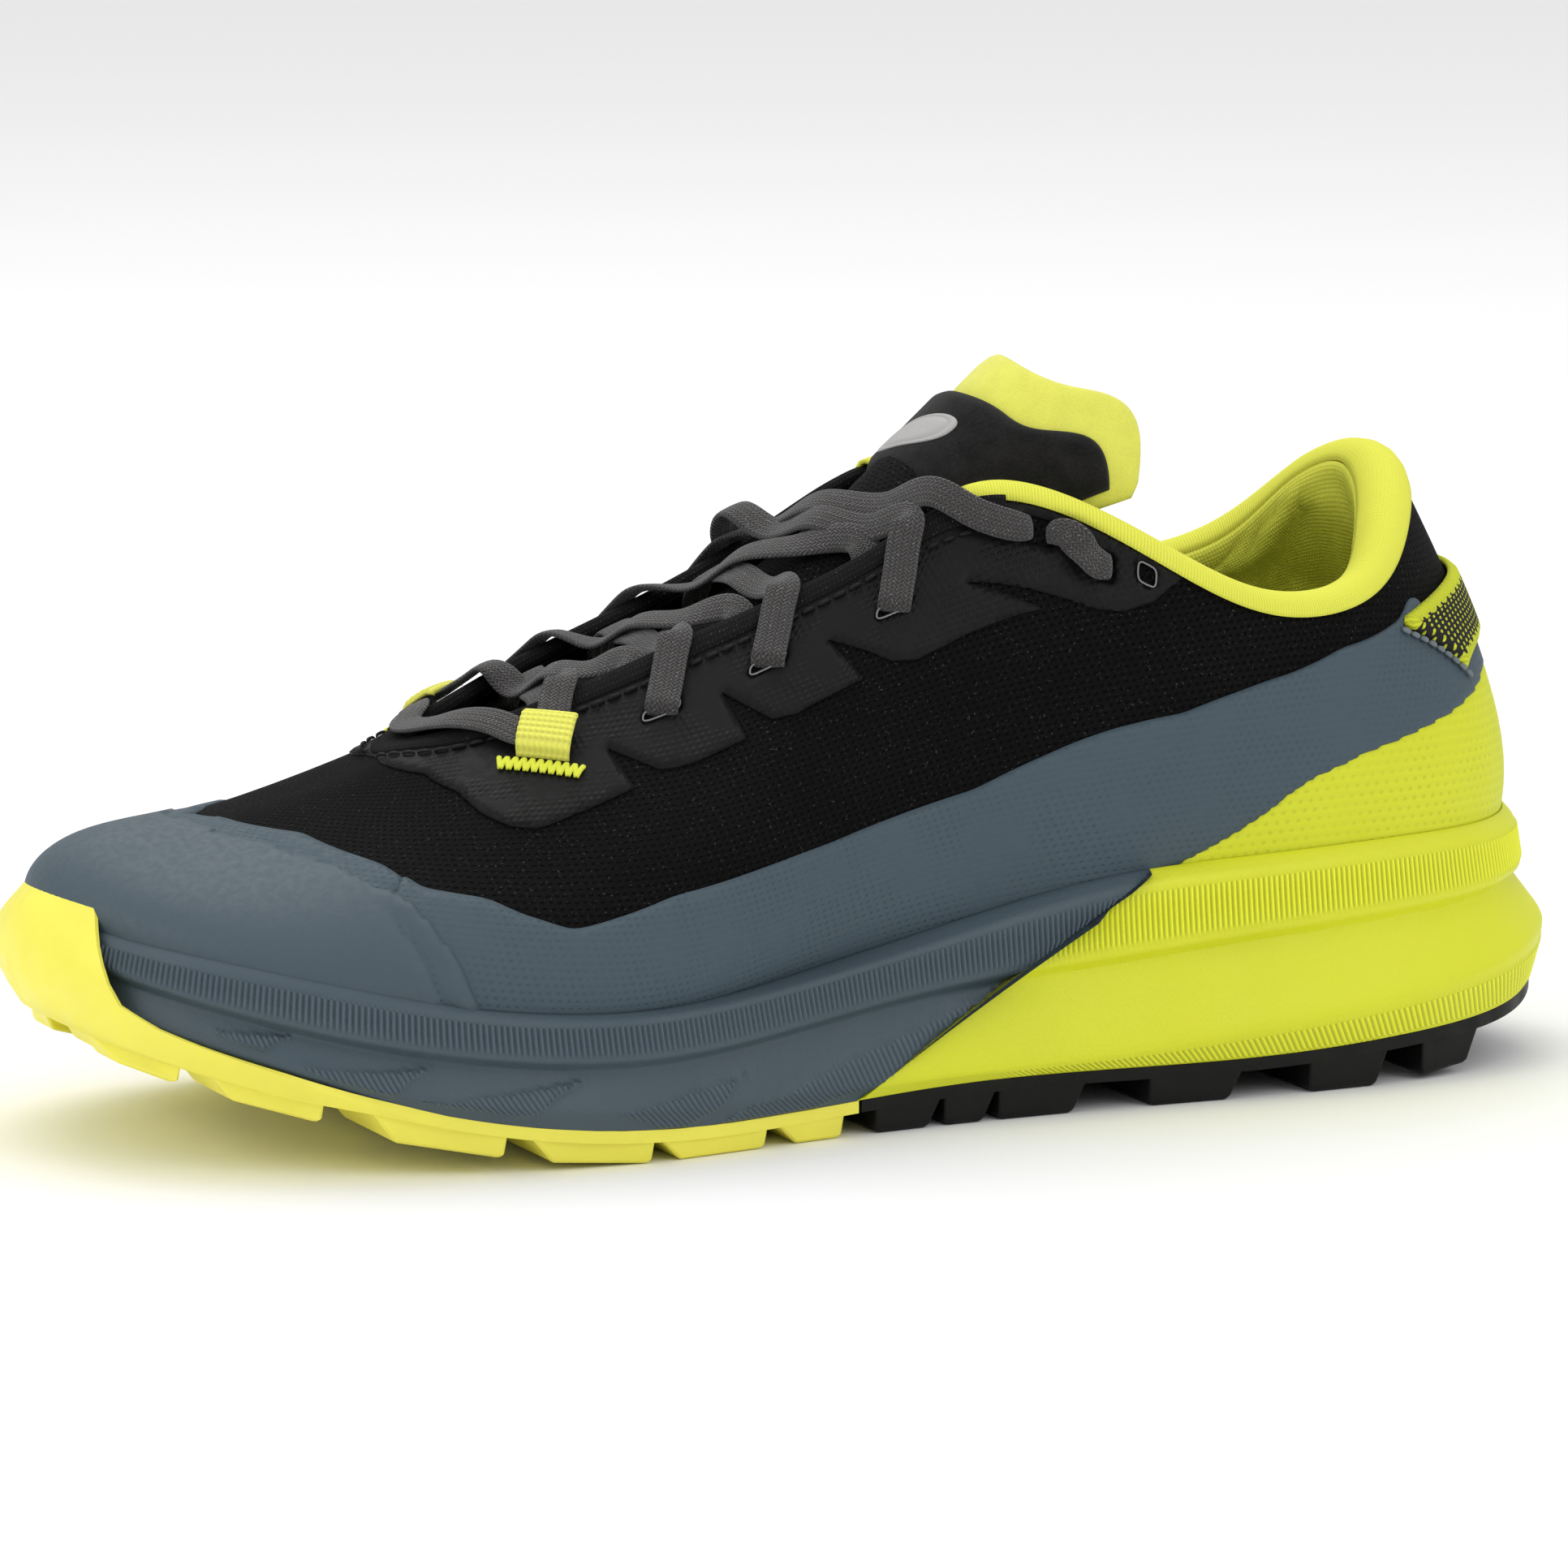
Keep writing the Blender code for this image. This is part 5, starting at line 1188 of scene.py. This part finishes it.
def puff(obj, pinned, pressure, cap, frames=14):
    """Let a padded piece swell under pressure with its seams held, then keep the result."""
    group = obj.vertex_groups.new(name="seams")
    for weight in (0.0, 1.0):
        group.add(np.flatnonzero(pinned == weight).tolist(), weight, "REPLACE")
    rest = np.array([v.co for v in obj.data.vertices])
    cloth = obj.modifiers.new("fabric", "CLOTH")
    settings = cloth.settings
    settings.vertex_group_mass = "seams"
    settings.pin_stiffness = 3.0
    settings.use_pressure = True
    settings.uniform_pressure_force = pressure
    settings.quality = 5
    settings.mass = 0.3
    settings.tension_stiffness = settings.compression_stiffness = 12
    settings.shear_stiffness = 8
    settings.bending_stiffness = 0.3
    settings.shrink_min = -0.02
    settings.effector_weights.gravity = 0
    cloth.collision_settings.use_collision = False
    scene = bpy.context.scene
    for step in range(1, frames + 1):
        scene.frame_set(step)
        bpy.context.view_layer.update()
    evaluated = obj.evaluated_get(bpy.context.evaluated_depsgraph_get()).to_mesh()
    moved = np.array([v.co for v in evaluated.vertices]) - rest
    far = np.linalg.norm(moved, axis=1, keepdims=True)
    moved *= np.minimum(1, cap * MM / np.maximum(far, 1e-9))
    obj.modifiers.remove(cloth)
    obj.data.vertices.foreach_set("co", (rest + moved).astype(np.float32).ravel())
    obj.data.update()
    obj.vertex_groups.remove(group)
    scene.frame_set(1)


def add_collar():
    """Lining, puffed over the collar's foam, and the ribbed roll that goes on over the rim."""
    stations = np.linspace(-COLLAR_FRONT, COLLAR_FRONT, 230)
    columns = np.array([collar_section(s) for s in stations])
    knots = np.linalg.norm(np.diff(columns, axis=1), axis=2).mean(axis=0)
    knots = np.concatenate([[0], np.cumsum(knots)])
    at = np.linspace(0, knots[-1], 64)
    points = spline(knots, columns.transpose(1, 0, 2), at).transpose(1, 0, 2)
    run = UPPER.flat(stations, 3.0)[:, 0]
    uv = np.stack(np.broadcast_arrays(run[:, None], at[None, :]), -1)
    rib_start = 55
    lining = loft("collar_lining_knit", points[:, :rib_start + 1], LOOKS["lining"], uv[:, :rib_start + 1])
    pins = np.zeros((len(stations), rib_start + 1))
    pins[:, :12] = 1
    pins[:, -2:] = 1
    pins[:2] = pins[-2:] = 1
    puff(lining, pins.ravel(), 2.0, 1.4)
    solidify(lining, 0.8)
    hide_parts("collar_lining")
    rib = loft("collar_edge_knit", points[:, rib_start:], LOOKS["collar_rib"], uv[:, rib_start:])
    solidify(rib, 0.8)
    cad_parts["collar_foam"].data.materials[0] = LOOKS["foam"]


# ---------------------------------------------------------------- tongue
TONGUE_KNOTS = np.linspace(0, 1, len(TONGUE_LINE))
TONGUE_LENGTH = np.linalg.norm(np.diff(TONGUE_LINE, axis=0), axis=1).sum()
ARCH = 1.42                                 # half the tongue's bend across, in radians
# How far past the tongue's tip the yellow back and the black end reach, in mm, from q = -1 to 1
TIP_REACH = [(-1, -3), (-0.8, 7.2), (-0.64, 8), (-0.48, 4.4), (-0.25, 2), (0, 2.4), (0.3, 3.4), (0.6, 2.6),
             (0.82, -2.5), (1, -9)]
SUEDE_REACH = [(-1, -8), (-0.82, -2), (-0.68, -1.2), (-0.55, -6.6), (-0.35, -8.7), (-0.1, -9.3), (0.2, -9.2),
               (0.5, -9.4), (0.8, -12.5), (1, -17)]
MEDIAL_RISE = 0.4                           # share of its drop that the medial side is without at the tip


def tongue_at(u, q, lift=0.0, medial_rise=MEDIAL_RISE):
    """Points on the tongue: u from 0 at its root to 1 at its tip, q from -1 lateral to 1 medial."""
    u, q, lift = np.broadcast_arrays(*(np.asarray(x, float) for x in (u, q, lift)))
    flat = u.ravel()
    centre = spline(TONGUE_KNOTS, TONGUE_LINE, np.clip(flat, 0, 1))
    ahead = spline(TONGUE_KNOTS, TONGUE_LINE, np.clip(flat, 0, 0.99) + 0.01)
    behind = spline(TONGUE_KNOTS, TONGUE_LINE, np.clip(flat, 0.01, 1) - 0.01)
    along = unit(ahead - behind)
    centre = centre + along * (np.clip(flat - 1, 0, None) * TONGUE_LENGTH)[:, None]
    width = np.interp(flat, TONGUE_KNOTS, TONGUE_HALF_WIDTH)
    drop = np.interp(flat, TONGUE_KNOTS, TONGUE_DROP) / (1 - np.cos(ARCH))
    drop = drop * (1 - medial_rise * smooth_step(q.ravel(), -0.15, 0.6) * smooth_step(flat, 0.62, 0.92))
    turn = q.ravel() * ARCH
    y, z = width * np.sin(turn) / np.sin(ARCH), -drop * (1 - np.cos(turn))
    out = np.stack([-along[:, 1], np.zeros(len(flat)), along[:, 0]], -1)
    point = np.column_stack([centre[:, 0], TONGUE_Y + y, centre[:, 1]]) + out * z[:, None]
    ny, nz = drop * np.sin(turn), width * np.cos(turn) / np.sin(ARCH)
    normal = unit(out * nz[:, None] + np.array([0, 1.0, 0]) * ny[:, None])
    return (point + normal * lift.ravel()[:, None]).reshape(u.shape + (3,))


def tongue_reach(q, curve):
    """Where a layer's end is, as a share of the tongue's length."""
    places, reach = np.array(curve).T
    return 1 + spline(places, reach, q) / TONGUE_LENGTH


def tongue_layer(name, mat, start, reach, half, lifts, short=0.0, across=41, along=90, rise=0.0):
    """Closed pad between two lifts, its edges drawn together, and its rim; rise lifts its far end."""
    outer, inner = lifts
    q = np.linspace(-half, half, across)
    k = np.linspace(0, 1, along)
    u = start + (tongue_reach(q, reach)[:, None] - short - start) * k[None, :]
    grid_q = np.broadcast_to(q[:, None], u.shape)
    near = np.minimum(np.minimum(k, 1 - k)[None, :] * along * 0.8, (1 - np.abs(grid_q) / half) * across * 0.5)
    crown = 0.25 + 0.75 * np.clip(near / 3.5, 0, 1) ** 0.5
    middle = (outer + inner) / 2 + rise * smooth_step(u, 0.8, 0.96)
    thick = (outer - inner) / 2 * crown
    top, low = tongue_at(u, grid_q, middle + thick), tongue_at(u, grid_q, middle - thick)
    n, m = u.shape
    faces = grid_faces(n, m).tolist() + (grid_faces(n, m)[:, ::-1] + n * m).tolist()
    rim = [(i, 0) for i in range(n)] + [(n - 1, j) for j in range(1, m)]
    rim += [(i, m - 1) for i in range(n - 2, -1, -1)] + [(0, j) for j in range(m - 2, 0, -1)]
    rim = [i * m + j for i, j in rim]
    faces += [[a, b, b + n * m, a + n * m] for a, b in zip(rim, rim[1:] + rim[:1])]
    place = np.stack([grid_q * 24, u * TONGUE_LENGTH], -1).reshape(-1, 2)
    corners = np.concatenate([place[np.array(face) % (n * m)] for face in faces])
    points = np.concatenate([top.reshape(-1, 3), low.reshape(-1, 3)])
    obj = face_out(add_mesh(name, points, faces, mat, "tongue", corners))
    pins = np.zeros(2 * n * m)
    pins[rim] = 1
    pins[[r + n * m for r in rim]] = 1
    return obj, pins


def add_tongue():
    """Mesh pad, yellow back that stands out past it, brushed black end and badge."""
    pad, pins = tongue_layer("tongue_padding", LOOKS["tongue_mesh"], 0.03, SUEDE_REACH, 0.9, (-0.2, -3.4),
                             short=0.012)
    puff(pad, pins, 1.5, 1.0)
    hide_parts("tongue_pad")
    back, _ = tongue_layer("tongue_back", LOOKS["tongue_yellow"], 0.3, TIP_REACH, 1.0, (-3.5, -5.6),
                           across=81, along=110, rise=2.6)
    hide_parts("tongue_lining")
    tip, _ = tongue_layer("tongue_suede", LOOKS["suede"], 0.75, SUEDE_REACH, 0.93, (0.9, -3.3),
                          across=81, along=40)
    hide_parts("tongue_tip")
    add_badge()


# From the badge's edge to its middle: share of its size, and height on the tongue
BADGE = [(1.0, 0.7), (1.0, 1.05), (0.95, 1.16), (0.86, 1.16), (0.83, 1.04), (0.8, 1.04), (0.77, 1.18),
         (0.5, 1.24), (0.25, 1.26), (0.02, 1.27)]


def add_badge():
    """Plain silver badge: a soft lozenge, domed a little, with a fine line inside its edge."""
    turn = np.linspace(0, 2 * np.pi, 48, endpoint=False)
    rings = []
    for k, lift in BADGE:
        q = 0.25 * np.sign(np.cos(turn)) * np.abs(np.cos(turn)) ** 0.8 * k
        u = 0.036 * np.sign(np.sin(turn)) * np.abs(np.sin(turn)) ** 0.8 * k
        rings.append(tongue_at(0.822 - 0.12 * q + u, q - 0.02, lift))
    badge = loft("badge", np.array(rings), LOOKS["silver"], wrap=(False, True), body="tongue", cap=True)
    face_out(badge)
    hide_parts("tongue_badge")


# ---------------------------------------------------------------- lacing
LACE_WIDTH, LACE_THICKNESS = 6.0, 1.2
OVER_LIFT, UNDER_LIFT, LOOP_LIFT = 2.0, -3.2, 2.5   # of the lace over and under the eyestay, and in its loops
TUCK_LATERAL, TUCK_MEDIAL = -2.5, -2.7              # of its ends inside the upper


def place(spot, heelward, up, lift, face):
    """Point of the lace on the upper, in mm from a slot, and the way that one face of the lace looks."""
    station, row = spot
    centre, along, above, normal = UPPER.frame(*spot)
    target = centre + along * np.sign(along[0]) * heelward + above * up
    for _ in range(3):
        here, step = UPPER.beyond(station, row), 0.02
        ahead, below = UPPER.beyond(station + step, row), UPPER.beyond(station, row - step)
        slopes = np.column_stack([ahead - here, below - here]) / (step, -step)
        move = np.linalg.lstsq(slopes, target - here, rcond=None)[0]
        station, row = station + move[0], row + move[1]
    _, along, above, normal = UPPER.frame(station, min(row, UPPER.rows - 1))
    axes = {"out": normal, "up": above, "heel": along * np.sign(along[0])}
    turn = -1 if face.startswith("-") else 1
    return UPPER.beyond(station, row, lift), axes[face.lstrip("-")] * turn


def on_tongue(x, y, lift):
    """Point over the tongue at a place in plan."""
    u = np.linspace(0, 1, 15)
    u = float(np.interp(x, tongue_at(u, 0.0)[:, 0], u))
    share = (y - TONGUE_Y) / np.interp(u, TONGUE_KNOTS, TONGUE_HALF_WIDTH)
    q = np.arcsin(np.clip(share * np.sin(ARCH), -1, 1)) / ARCH
    return tongue_at(u + 0.006 * abs(share) ** 2.4, np.clip(q, -1, 1), lift, 0.0)


def crossing(start, end, ends_under):
    """Over the tongue between two rim points; lace that starts on the inner side passes on top."""
    middle = (2.6, 3.5, 2.4) if start[1] > TONGUE_Y else (2.6, 1.8, 1.6)
    if not ends_under:
        middle = (3.4, 3.4, 2.8)
    points = []
    for k, lift in zip((0.27, 0.5, 0.73), middle):
        p = start + (end - start) * k
        point = on_tongue(p[0], p[1], lift)
        points.append((point, on_tongue(p[0], p[1], lift + 1) - point))
    return points


def rim_reach(spot):
    """Distance from a slot up to the rim."""
    return float(np.linalg.norm(UPPER.at(*spot) - UPPER.at(spot[0], UPPER.rows - 1)))


def up_through(spot, face):
    """From under the rim out through a slot, and back over the eyestay past the rim."""
    reach = rim_reach(spot)
    under = [place(spot, -7.5, reach, UNDER_LIFT, face), place(spot, -4, 0.5 * reach, UNDER_LIFT, face),
             place(spot, -0.4, 1.5, UNDER_LIFT - 0.15, face)]
    turned = face.replace("out", "up")
    slot = ((-0.2, -2.9), (-0.3, -1.6), (-0.3, 0), (-0.2, 1.0))
    through = [place(spot, 0, up, lift, turned) for up, lift in slot]
    back = "out" if face.startswith("-") else "-out"
    over = [(0.4, 1.85), (1.8, OVER_LIFT), (0.5 * reach, OVER_LIFT), (reach - 1, OVER_LIFT + 0.3),
            (reach + 2.2, OVER_LIFT + 0.1)]
    return [*under, *through, *(place(spot, 0.07 * up, up, lift, back) for up, lift in over)]


def tuck(slots, depth, face):
    """Down through one slot, up through the next, and in for good through the last."""
    into, back = face.replace("out", "heel"), ("-" + face.replace("out", "heel")).replace("--", "")
    first, second, last = slots
    down = ((-1.5, 2.2, face), (-0.3, 1.75, face), (0.1, 0.6, into), (0.1, -0.6, into), (0.15, -1.6, into))
    rise = ((-0.15, -1.6, back), (-0.1, -0.6, back), (-0.1, 0.6, back), (0.3, 1.75, face), (1.5, 2.2, face))
    points = [place(first, -17, rim_reach(first) + 0.5, OVER_LIFT + 0.9, face),
              place(first, -10.5, 2.6, OVER_LIFT + 0.8, face), place(first, -5, 0.6, OVER_LIFT + 0.4, face)]
    points += [place(first, heel, 0, lift, f) for heel, lift, f in down]
    points.append(place(first, 1.4, 0, depth - 0.1, face))
    points += [place(second, heel, 0, lift, f) for heel, lift, f in rise]
    points += [place(last, heel, 0, lift, f) for heel, lift, f in down]
    return points + [place(last, 1.4, 0, depth - 0.1, face)]


def crossing_faces(points, face):
    """The same points, turned over where the lace lies on its other face."""
    turn = -1 if face.startswith("-") else 1
    return [(p, f * turn) for p, f in points]


def climb(side, depth):
    """Lace from its webbing loop on one side up to its tucked end."""
    slots = (LATERAL_SLOTS, MEDIAL_SLOTS)
    face = "out"
    loop = LOOPS[side]
    path = [place(loop, -8, 1.2, LOOP_LIFT, face), place(loop, -3.4, -0.4, LOOP_LIFT, face),
            place(loop, -0.3, 1.6, LOOP_LIFT, face), place(loop, 0.2, 5.5, LOOP_LIFT, face),
            place(loop, 0, rim_reach(loop) - 0.5, LOOP_LIFT, face),
            place(loop, 0, rim_reach(loop) + 2.5, LOOP_LIFT - 0.2, face)]
    for k in range(3):
        side = 1 - side
        rise = up_through(slots[side][k], face)
        path += crossing_faces(crossing(path[-1][0], rise[0][0], True), face) + rise
        face = "out" if face.startswith("-") else "-out"
    side = 1 - side
    end = tuck(slots[side][3:], depth, face)
    path += crossing_faces(crossing(path[-1][0], end[0][0], False), face) + end
    station, row = slots[side][5]
    return path + [place((station, row - 0.18 * k), 2.0, 0, depth, face) for k in (1, 2, 3)]


def lace_path():
    """Whole lace: tucked end, up and down the lateral chain, the bar at the toe, and the medial chain."""
    lateral, medial = climb(0, TUCK_LATERAL), climb(1, TUCK_MEDIAL)
    bar = []
    for station in (9.6, 10.3, 11, 11.7, 12.4):
        bar.append((UPPER.beyond(station, 4.05, 2.7), UPPER.frame(station, 4)[3]))
    return [*lateral[::-1], *bar, *medial]


def gathered(centre):
    """Share of its width that the lace keeps, less where the small eyelets gather it."""
    keep = np.ones(len(centre))
    for spot in [*LATERAL_SLOTS[3:], *MEDIAL_SLOTS[3:]]:
        gap = np.linalg.norm(centre - UPPER.at(*spot), axis=1)
        keep -= 0.42 * np.exp(-(gap / 2.4) ** 2)
    return keep


def add_lace():
    """Flat woven lace with rounded edges, along a smooth curve through its path."""
    points, faces = (np.array(x) for x in zip(*lace_path()))
    knots = np.concatenate([[0], np.cumsum(np.linalg.norm(np.diff(points, axis=0), axis=1))])
    at = np.arange(0, knots[-1], 0.42)
    centre, face = spline(knots, points, at), spline(knots, faces, at)
    run = unit(np.gradient(centre, axis=0))
    across = unit(np.cross(face, run))
    face = np.cross(run, across)
    turn = np.arange(16) * 2 * np.pi / 16
    x = np.sign(np.cos(turn)) * np.abs(np.cos(turn)) ** 0.55 * LACE_WIDTH / 2
    crown = 0.82 + 0.18 * np.cos(np.pi * x / LACE_WIDTH)
    y = np.sign(np.sin(turn)) * np.abs(np.sin(turn)) ** 0.6 * LACE_THICKNESS / 2 * crown
    wide = gathered(centre)[:, None, None] * x[None, :, None]
    rings = centre[:, None] + across[:, None] * wide + face[:, None] * y[None, :, None]
    sheet = np.concatenate([x + np.sign(y) * 8, x[:1] + 8])
    uv = np.stack(np.broadcast_arrays(at[:, None], sheet[None, :]), -1)
    lace = face_out(loft("lace_weave", rings, LOOKS["lace"], uv, (False, True), cap=True))
    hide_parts("lace")
    for side in ("lateral", "medial"):
        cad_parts["aglet_" + side].data.materials[0] = LOOKS["aglet"]


# Webbing over the lace: up the upper from the loop's place, and out from it
KEEPER = [(-4.6, 0.0), (-4.3, 1.4), (-3.7, 3.0), (-2.6, 4.0), (-1, 4.35), (1.5, 4.4), (3.4, 4.15), (4.3, 3.5)]


def add_loops():
    """Webbing keepers that hold the lace at its lowest turn, each with a row of zigzag stitches below it."""
    zigzags = []
    for side, loop in zip(("lateral", "medial"), LOOPS):
        outer = np.array(KEEPER)
        run = np.concatenate([[0], np.cumsum(np.linalg.norm(np.diff(outer, axis=0), axis=1))])
        at = np.linspace(0, run[-1], 44)
        outer = spline(run, outer, at)
        outer[:, 1] += 0.13 * np.cos(2 * np.pi * at / 1.3)
        inner = spline(run, np.array(KEEPER), at) - (0, 0.85)
        section = np.concatenate([outer, inner[::-1]])
        across = np.linspace(-4.7, 4.7, 25)
        rows = []
        for heelward in across:
            sunk = 0.3 * (abs(heelward) > 4.5)
            rows.append([place(loop, heelward, up, out - sunk, "out")[0] for up, out in section])
        sheet = np.append(section[:, 0], section[0, 0])
        uv = np.stack(np.broadcast_arrays(across[:, None], sheet[None, :]), -1)
        keeper = face_out(loft("keeper_" + side, rows, LOOKS["webbing"], uv, (False, True), cap=True))
        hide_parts("lace_loop_" + side)
        turns = [place(loop, -7.5 + 0.75 * k, -6.6 + 1.3 * (-1) ** k, 1.05, "out")[0] for k in range(21)]
        facing = UPPER.frame(*loop)[3]
        for a, b in zip(turns, turns[1:]):
            k = np.linspace(0, 1, 9)
            line = a + (b - a) * k[:, None] + facing * (0.25 * np.sin(np.pi * k))[:, None]
            zigzags.append(tube(line, 0.5, 8, 0.8, face=facing))
    many_tubes("keeper_stitches", zigzags, LOOKS["thread_yellow"])


# ---------------------------------------------------------------- heel tab
# Upper and lower edge of the ribbon: (station, row)
TAB_TOP = [(-1.62, 3.2), (-1.3, 3.16), (-0.8, 3.12), (0, 3.12), (0.8, 3.12), (1.3, 3.16), (1.62, 3.2)]
TAB_FOOT = [(-1.05, 2.28), (-0.85, 2.38), (-0.5, 2.45), (0, 2.47), (0.5, 2.45), (0.85, 2.38), (1.05, 2.28)]


def add_heel_tab():
    """Ribbon wrapped round the back of the heel, slanting forward to its two sewn ends."""
    k = np.linspace(0, 1, 121)
    knots = np.linspace(0, 1, len(TAB_TOP))
    top, foot = spline(knots, np.array(TAB_TOP), k), spline(knots, np.array(TAB_FOOT), k)
    across = np.linspace(0, 1, 25)
    spots = top[:, None] * (1 - across)[None, :, None] + foot[:, None] * across[None, :, None]
    edge_near = np.minimum(np.minimum(across, 1 - across)[None, :] * 12, np.minimum(k, 1 - k)[:, None] * 60)
    lift = 0.35 + 1.0 * np.clip(edge_near, 0, 1) ** 0.5
    points = UPPER.at(spots[..., 0], spots[..., 1], lift)
    run = np.concatenate([[0], np.cumsum(np.linalg.norm(np.diff(points[:, 12], axis=0), axis=1))])
    uv = np.stack(np.broadcast_arrays(run[:, None], (across - 0.5)[None, :] * 16.8), -1)
    ribbon = solidify(loft("heel_ribbon", points, LOOKS["ribbon"], uv), 1.0)
    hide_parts("heel_tab")
    stitch = []
    for side in (1, -1):
        line = np.column_stack([np.linspace(1.7, 1.02, 60) * side, np.linspace(3.14, 2.14, 60)])
        stitch += stitches(line, 2.1, 0.35, 0.55, 1.5)
    many_tubes("heel_stitches", stitch, LOOKS["thread_grey"])


# ---------------------------------------------------------------- hidden pieces
def paint_hidden():
    """Looks for the CAD solids that stay: the board, the foams and the stiffeners inside the shoe."""
    looks = {"strobel_board": "board", "insole_foam": "foam", "toe_puff": "stiffener",
             "heel_counter": "stiffener", "eyelet_backing_lateral": "binding",
             "eyelet_backing_medial": "binding"}
    for node, look in looks.items():
        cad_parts[node].data.materials[0] = LOOKS[look]


# ---------------------------------------------------------------- stage
CAMERA_TURN, CAMERA_RISE, CAMERA_AWAY = np.radians(-24), np.radians(9), 1.5
FOCAL_LENGTH, SENSOR = 192, 36
TARGET = (-0.00303, -0.0022, 0.0558)


# Square softboxes: place and side in metres, and power in watts
SOFTBOXES = {"top": ((0.1, 0.8, 1.7), 1.4, 11.0), "toe": ((-1.25, -0.1, 0.55), 0.7, 3.0),
             "side": ((0.5, -1.0, 0.7), 0.6, 2.4)}
LIT = (0, 0, 0.05)                          # what they are aimed at
SIDE_LIGHT, TOP_LIGHT, SEEN_LIGHT = 0.37, 0.98, 0.92
FLOOR_SIZE = 9.0


def add_softbox(name, where, size, power):
    light = bpy.data.lights.new("softbox_" + name, "AREA")
    light.size, light.energy = size, power
    obj = bpy.data.objects.new(light.name, light)
    bpy.context.scene.collection.objects.link(obj)
    obj.location = where
    obj.rotation_euler = (Vector(LIT) - Vector(where)).to_track_quat("-Z", "Y").to_euler()


def add_world():
    """White room: brightest overhead, dimmer at the sides, and an even white where the camera sees it."""
    world = bpy.data.worlds.new("studio")
    world.use_nodes = True
    tree = world.node_tree
    background = tree.nodes["Background"]
    background.inputs["Color"].default_value = (1, 1, 1, 1)
    way = tree.nodes.new("ShaderNodeTexCoord")
    split = tree.nodes.new("ShaderNodeSeparateXYZ")
    tree.links.new(way.outputs["Generated"], split.inputs[0])
    span = tree.nodes.new("ShaderNodeMapRange")
    tree.links.new(split.outputs[2], span.inputs["Value"])
    span.inputs["From Min"].default_value, span.inputs["From Max"].default_value = 0.0, 0.8
    span.inputs["To Min"].default_value, span.inputs["To Max"].default_value = SIDE_LIGHT, TOP_LIGHT
    seen = tree.nodes.new("ShaderNodeLightPath")
    choose = tree.nodes.new("ShaderNodeMix")
    tree.links.new(seen.outputs["Is Camera Ray"], choose.inputs[0])
    tree.links.new(span.outputs["Result"], choose.inputs[2])
    choose.inputs[3].default_value = SEEN_LIGHT
    tree.links.new(choose.outputs[0], background.inputs["Strength"])
    bpy.context.scene.world = world


def add_stage():
    """White paper floor, softboxes and room."""
    mesh = bpy.data.meshes.new("floor")
    corners = [(-1, -1), (1, -1), (1, 1), (-1, 1)]
    mesh.from_pydata([(x * FLOOR_SIZE, y * FLOOR_SIZE, 0) for x, y in corners], [], [(0, 1, 2, 3)])
    look = Look("floor_paper", (0.94, 0.94, 0.94), 0.8, specular=0.1)
    look.paint(look.shade(look.noise(look.place(), 0.004, 2.0), 0.99, 1.0))
    mesh.materials.append(look.material)
    floor = bpy.data.objects.new("floor", mesh)
    bpy.context.scene.collection.objects.link(floor)
    for name, settings in SOFTBOXES.items():
        add_softbox(name, *settings)
    add_world()
    bpy.context.scene.view_settings.view_transform = "Standard"


def add_camera():
    lens = bpy.data.cameras.new("camera")
    lens.lens, lens.sensor_width = FOCAL_LENGTH, SENSOR
    camera = bpy.data.objects.new("camera", lens)
    back = np.array([np.sin(CAMERA_TURN) * np.cos(CAMERA_RISE), -np.cos(CAMERA_TURN) * np.cos(CAMERA_RISE),
                     np.sin(CAMERA_RISE)])
    camera.location = TARGET + back * CAMERA_AWAY
    camera.rotation_euler = Vector(back.tolist()).to_track_quat("Z", "Y").to_euler()
    bpy.context.scene.collection.objects.link(camera)
    bpy.context.scene.camera = camera


def main():
    add_sole()
    add_footbed()
    add_knit()
    add_bands()
    add_toe_cap()
    add_eyestay()
    add_throat_trim()
    add_collar()
    add_tongue()
    add_lace()
    add_loops()
    add_heel_tab()
    paint_hidden()
    add_stage()
    add_camera()


main()
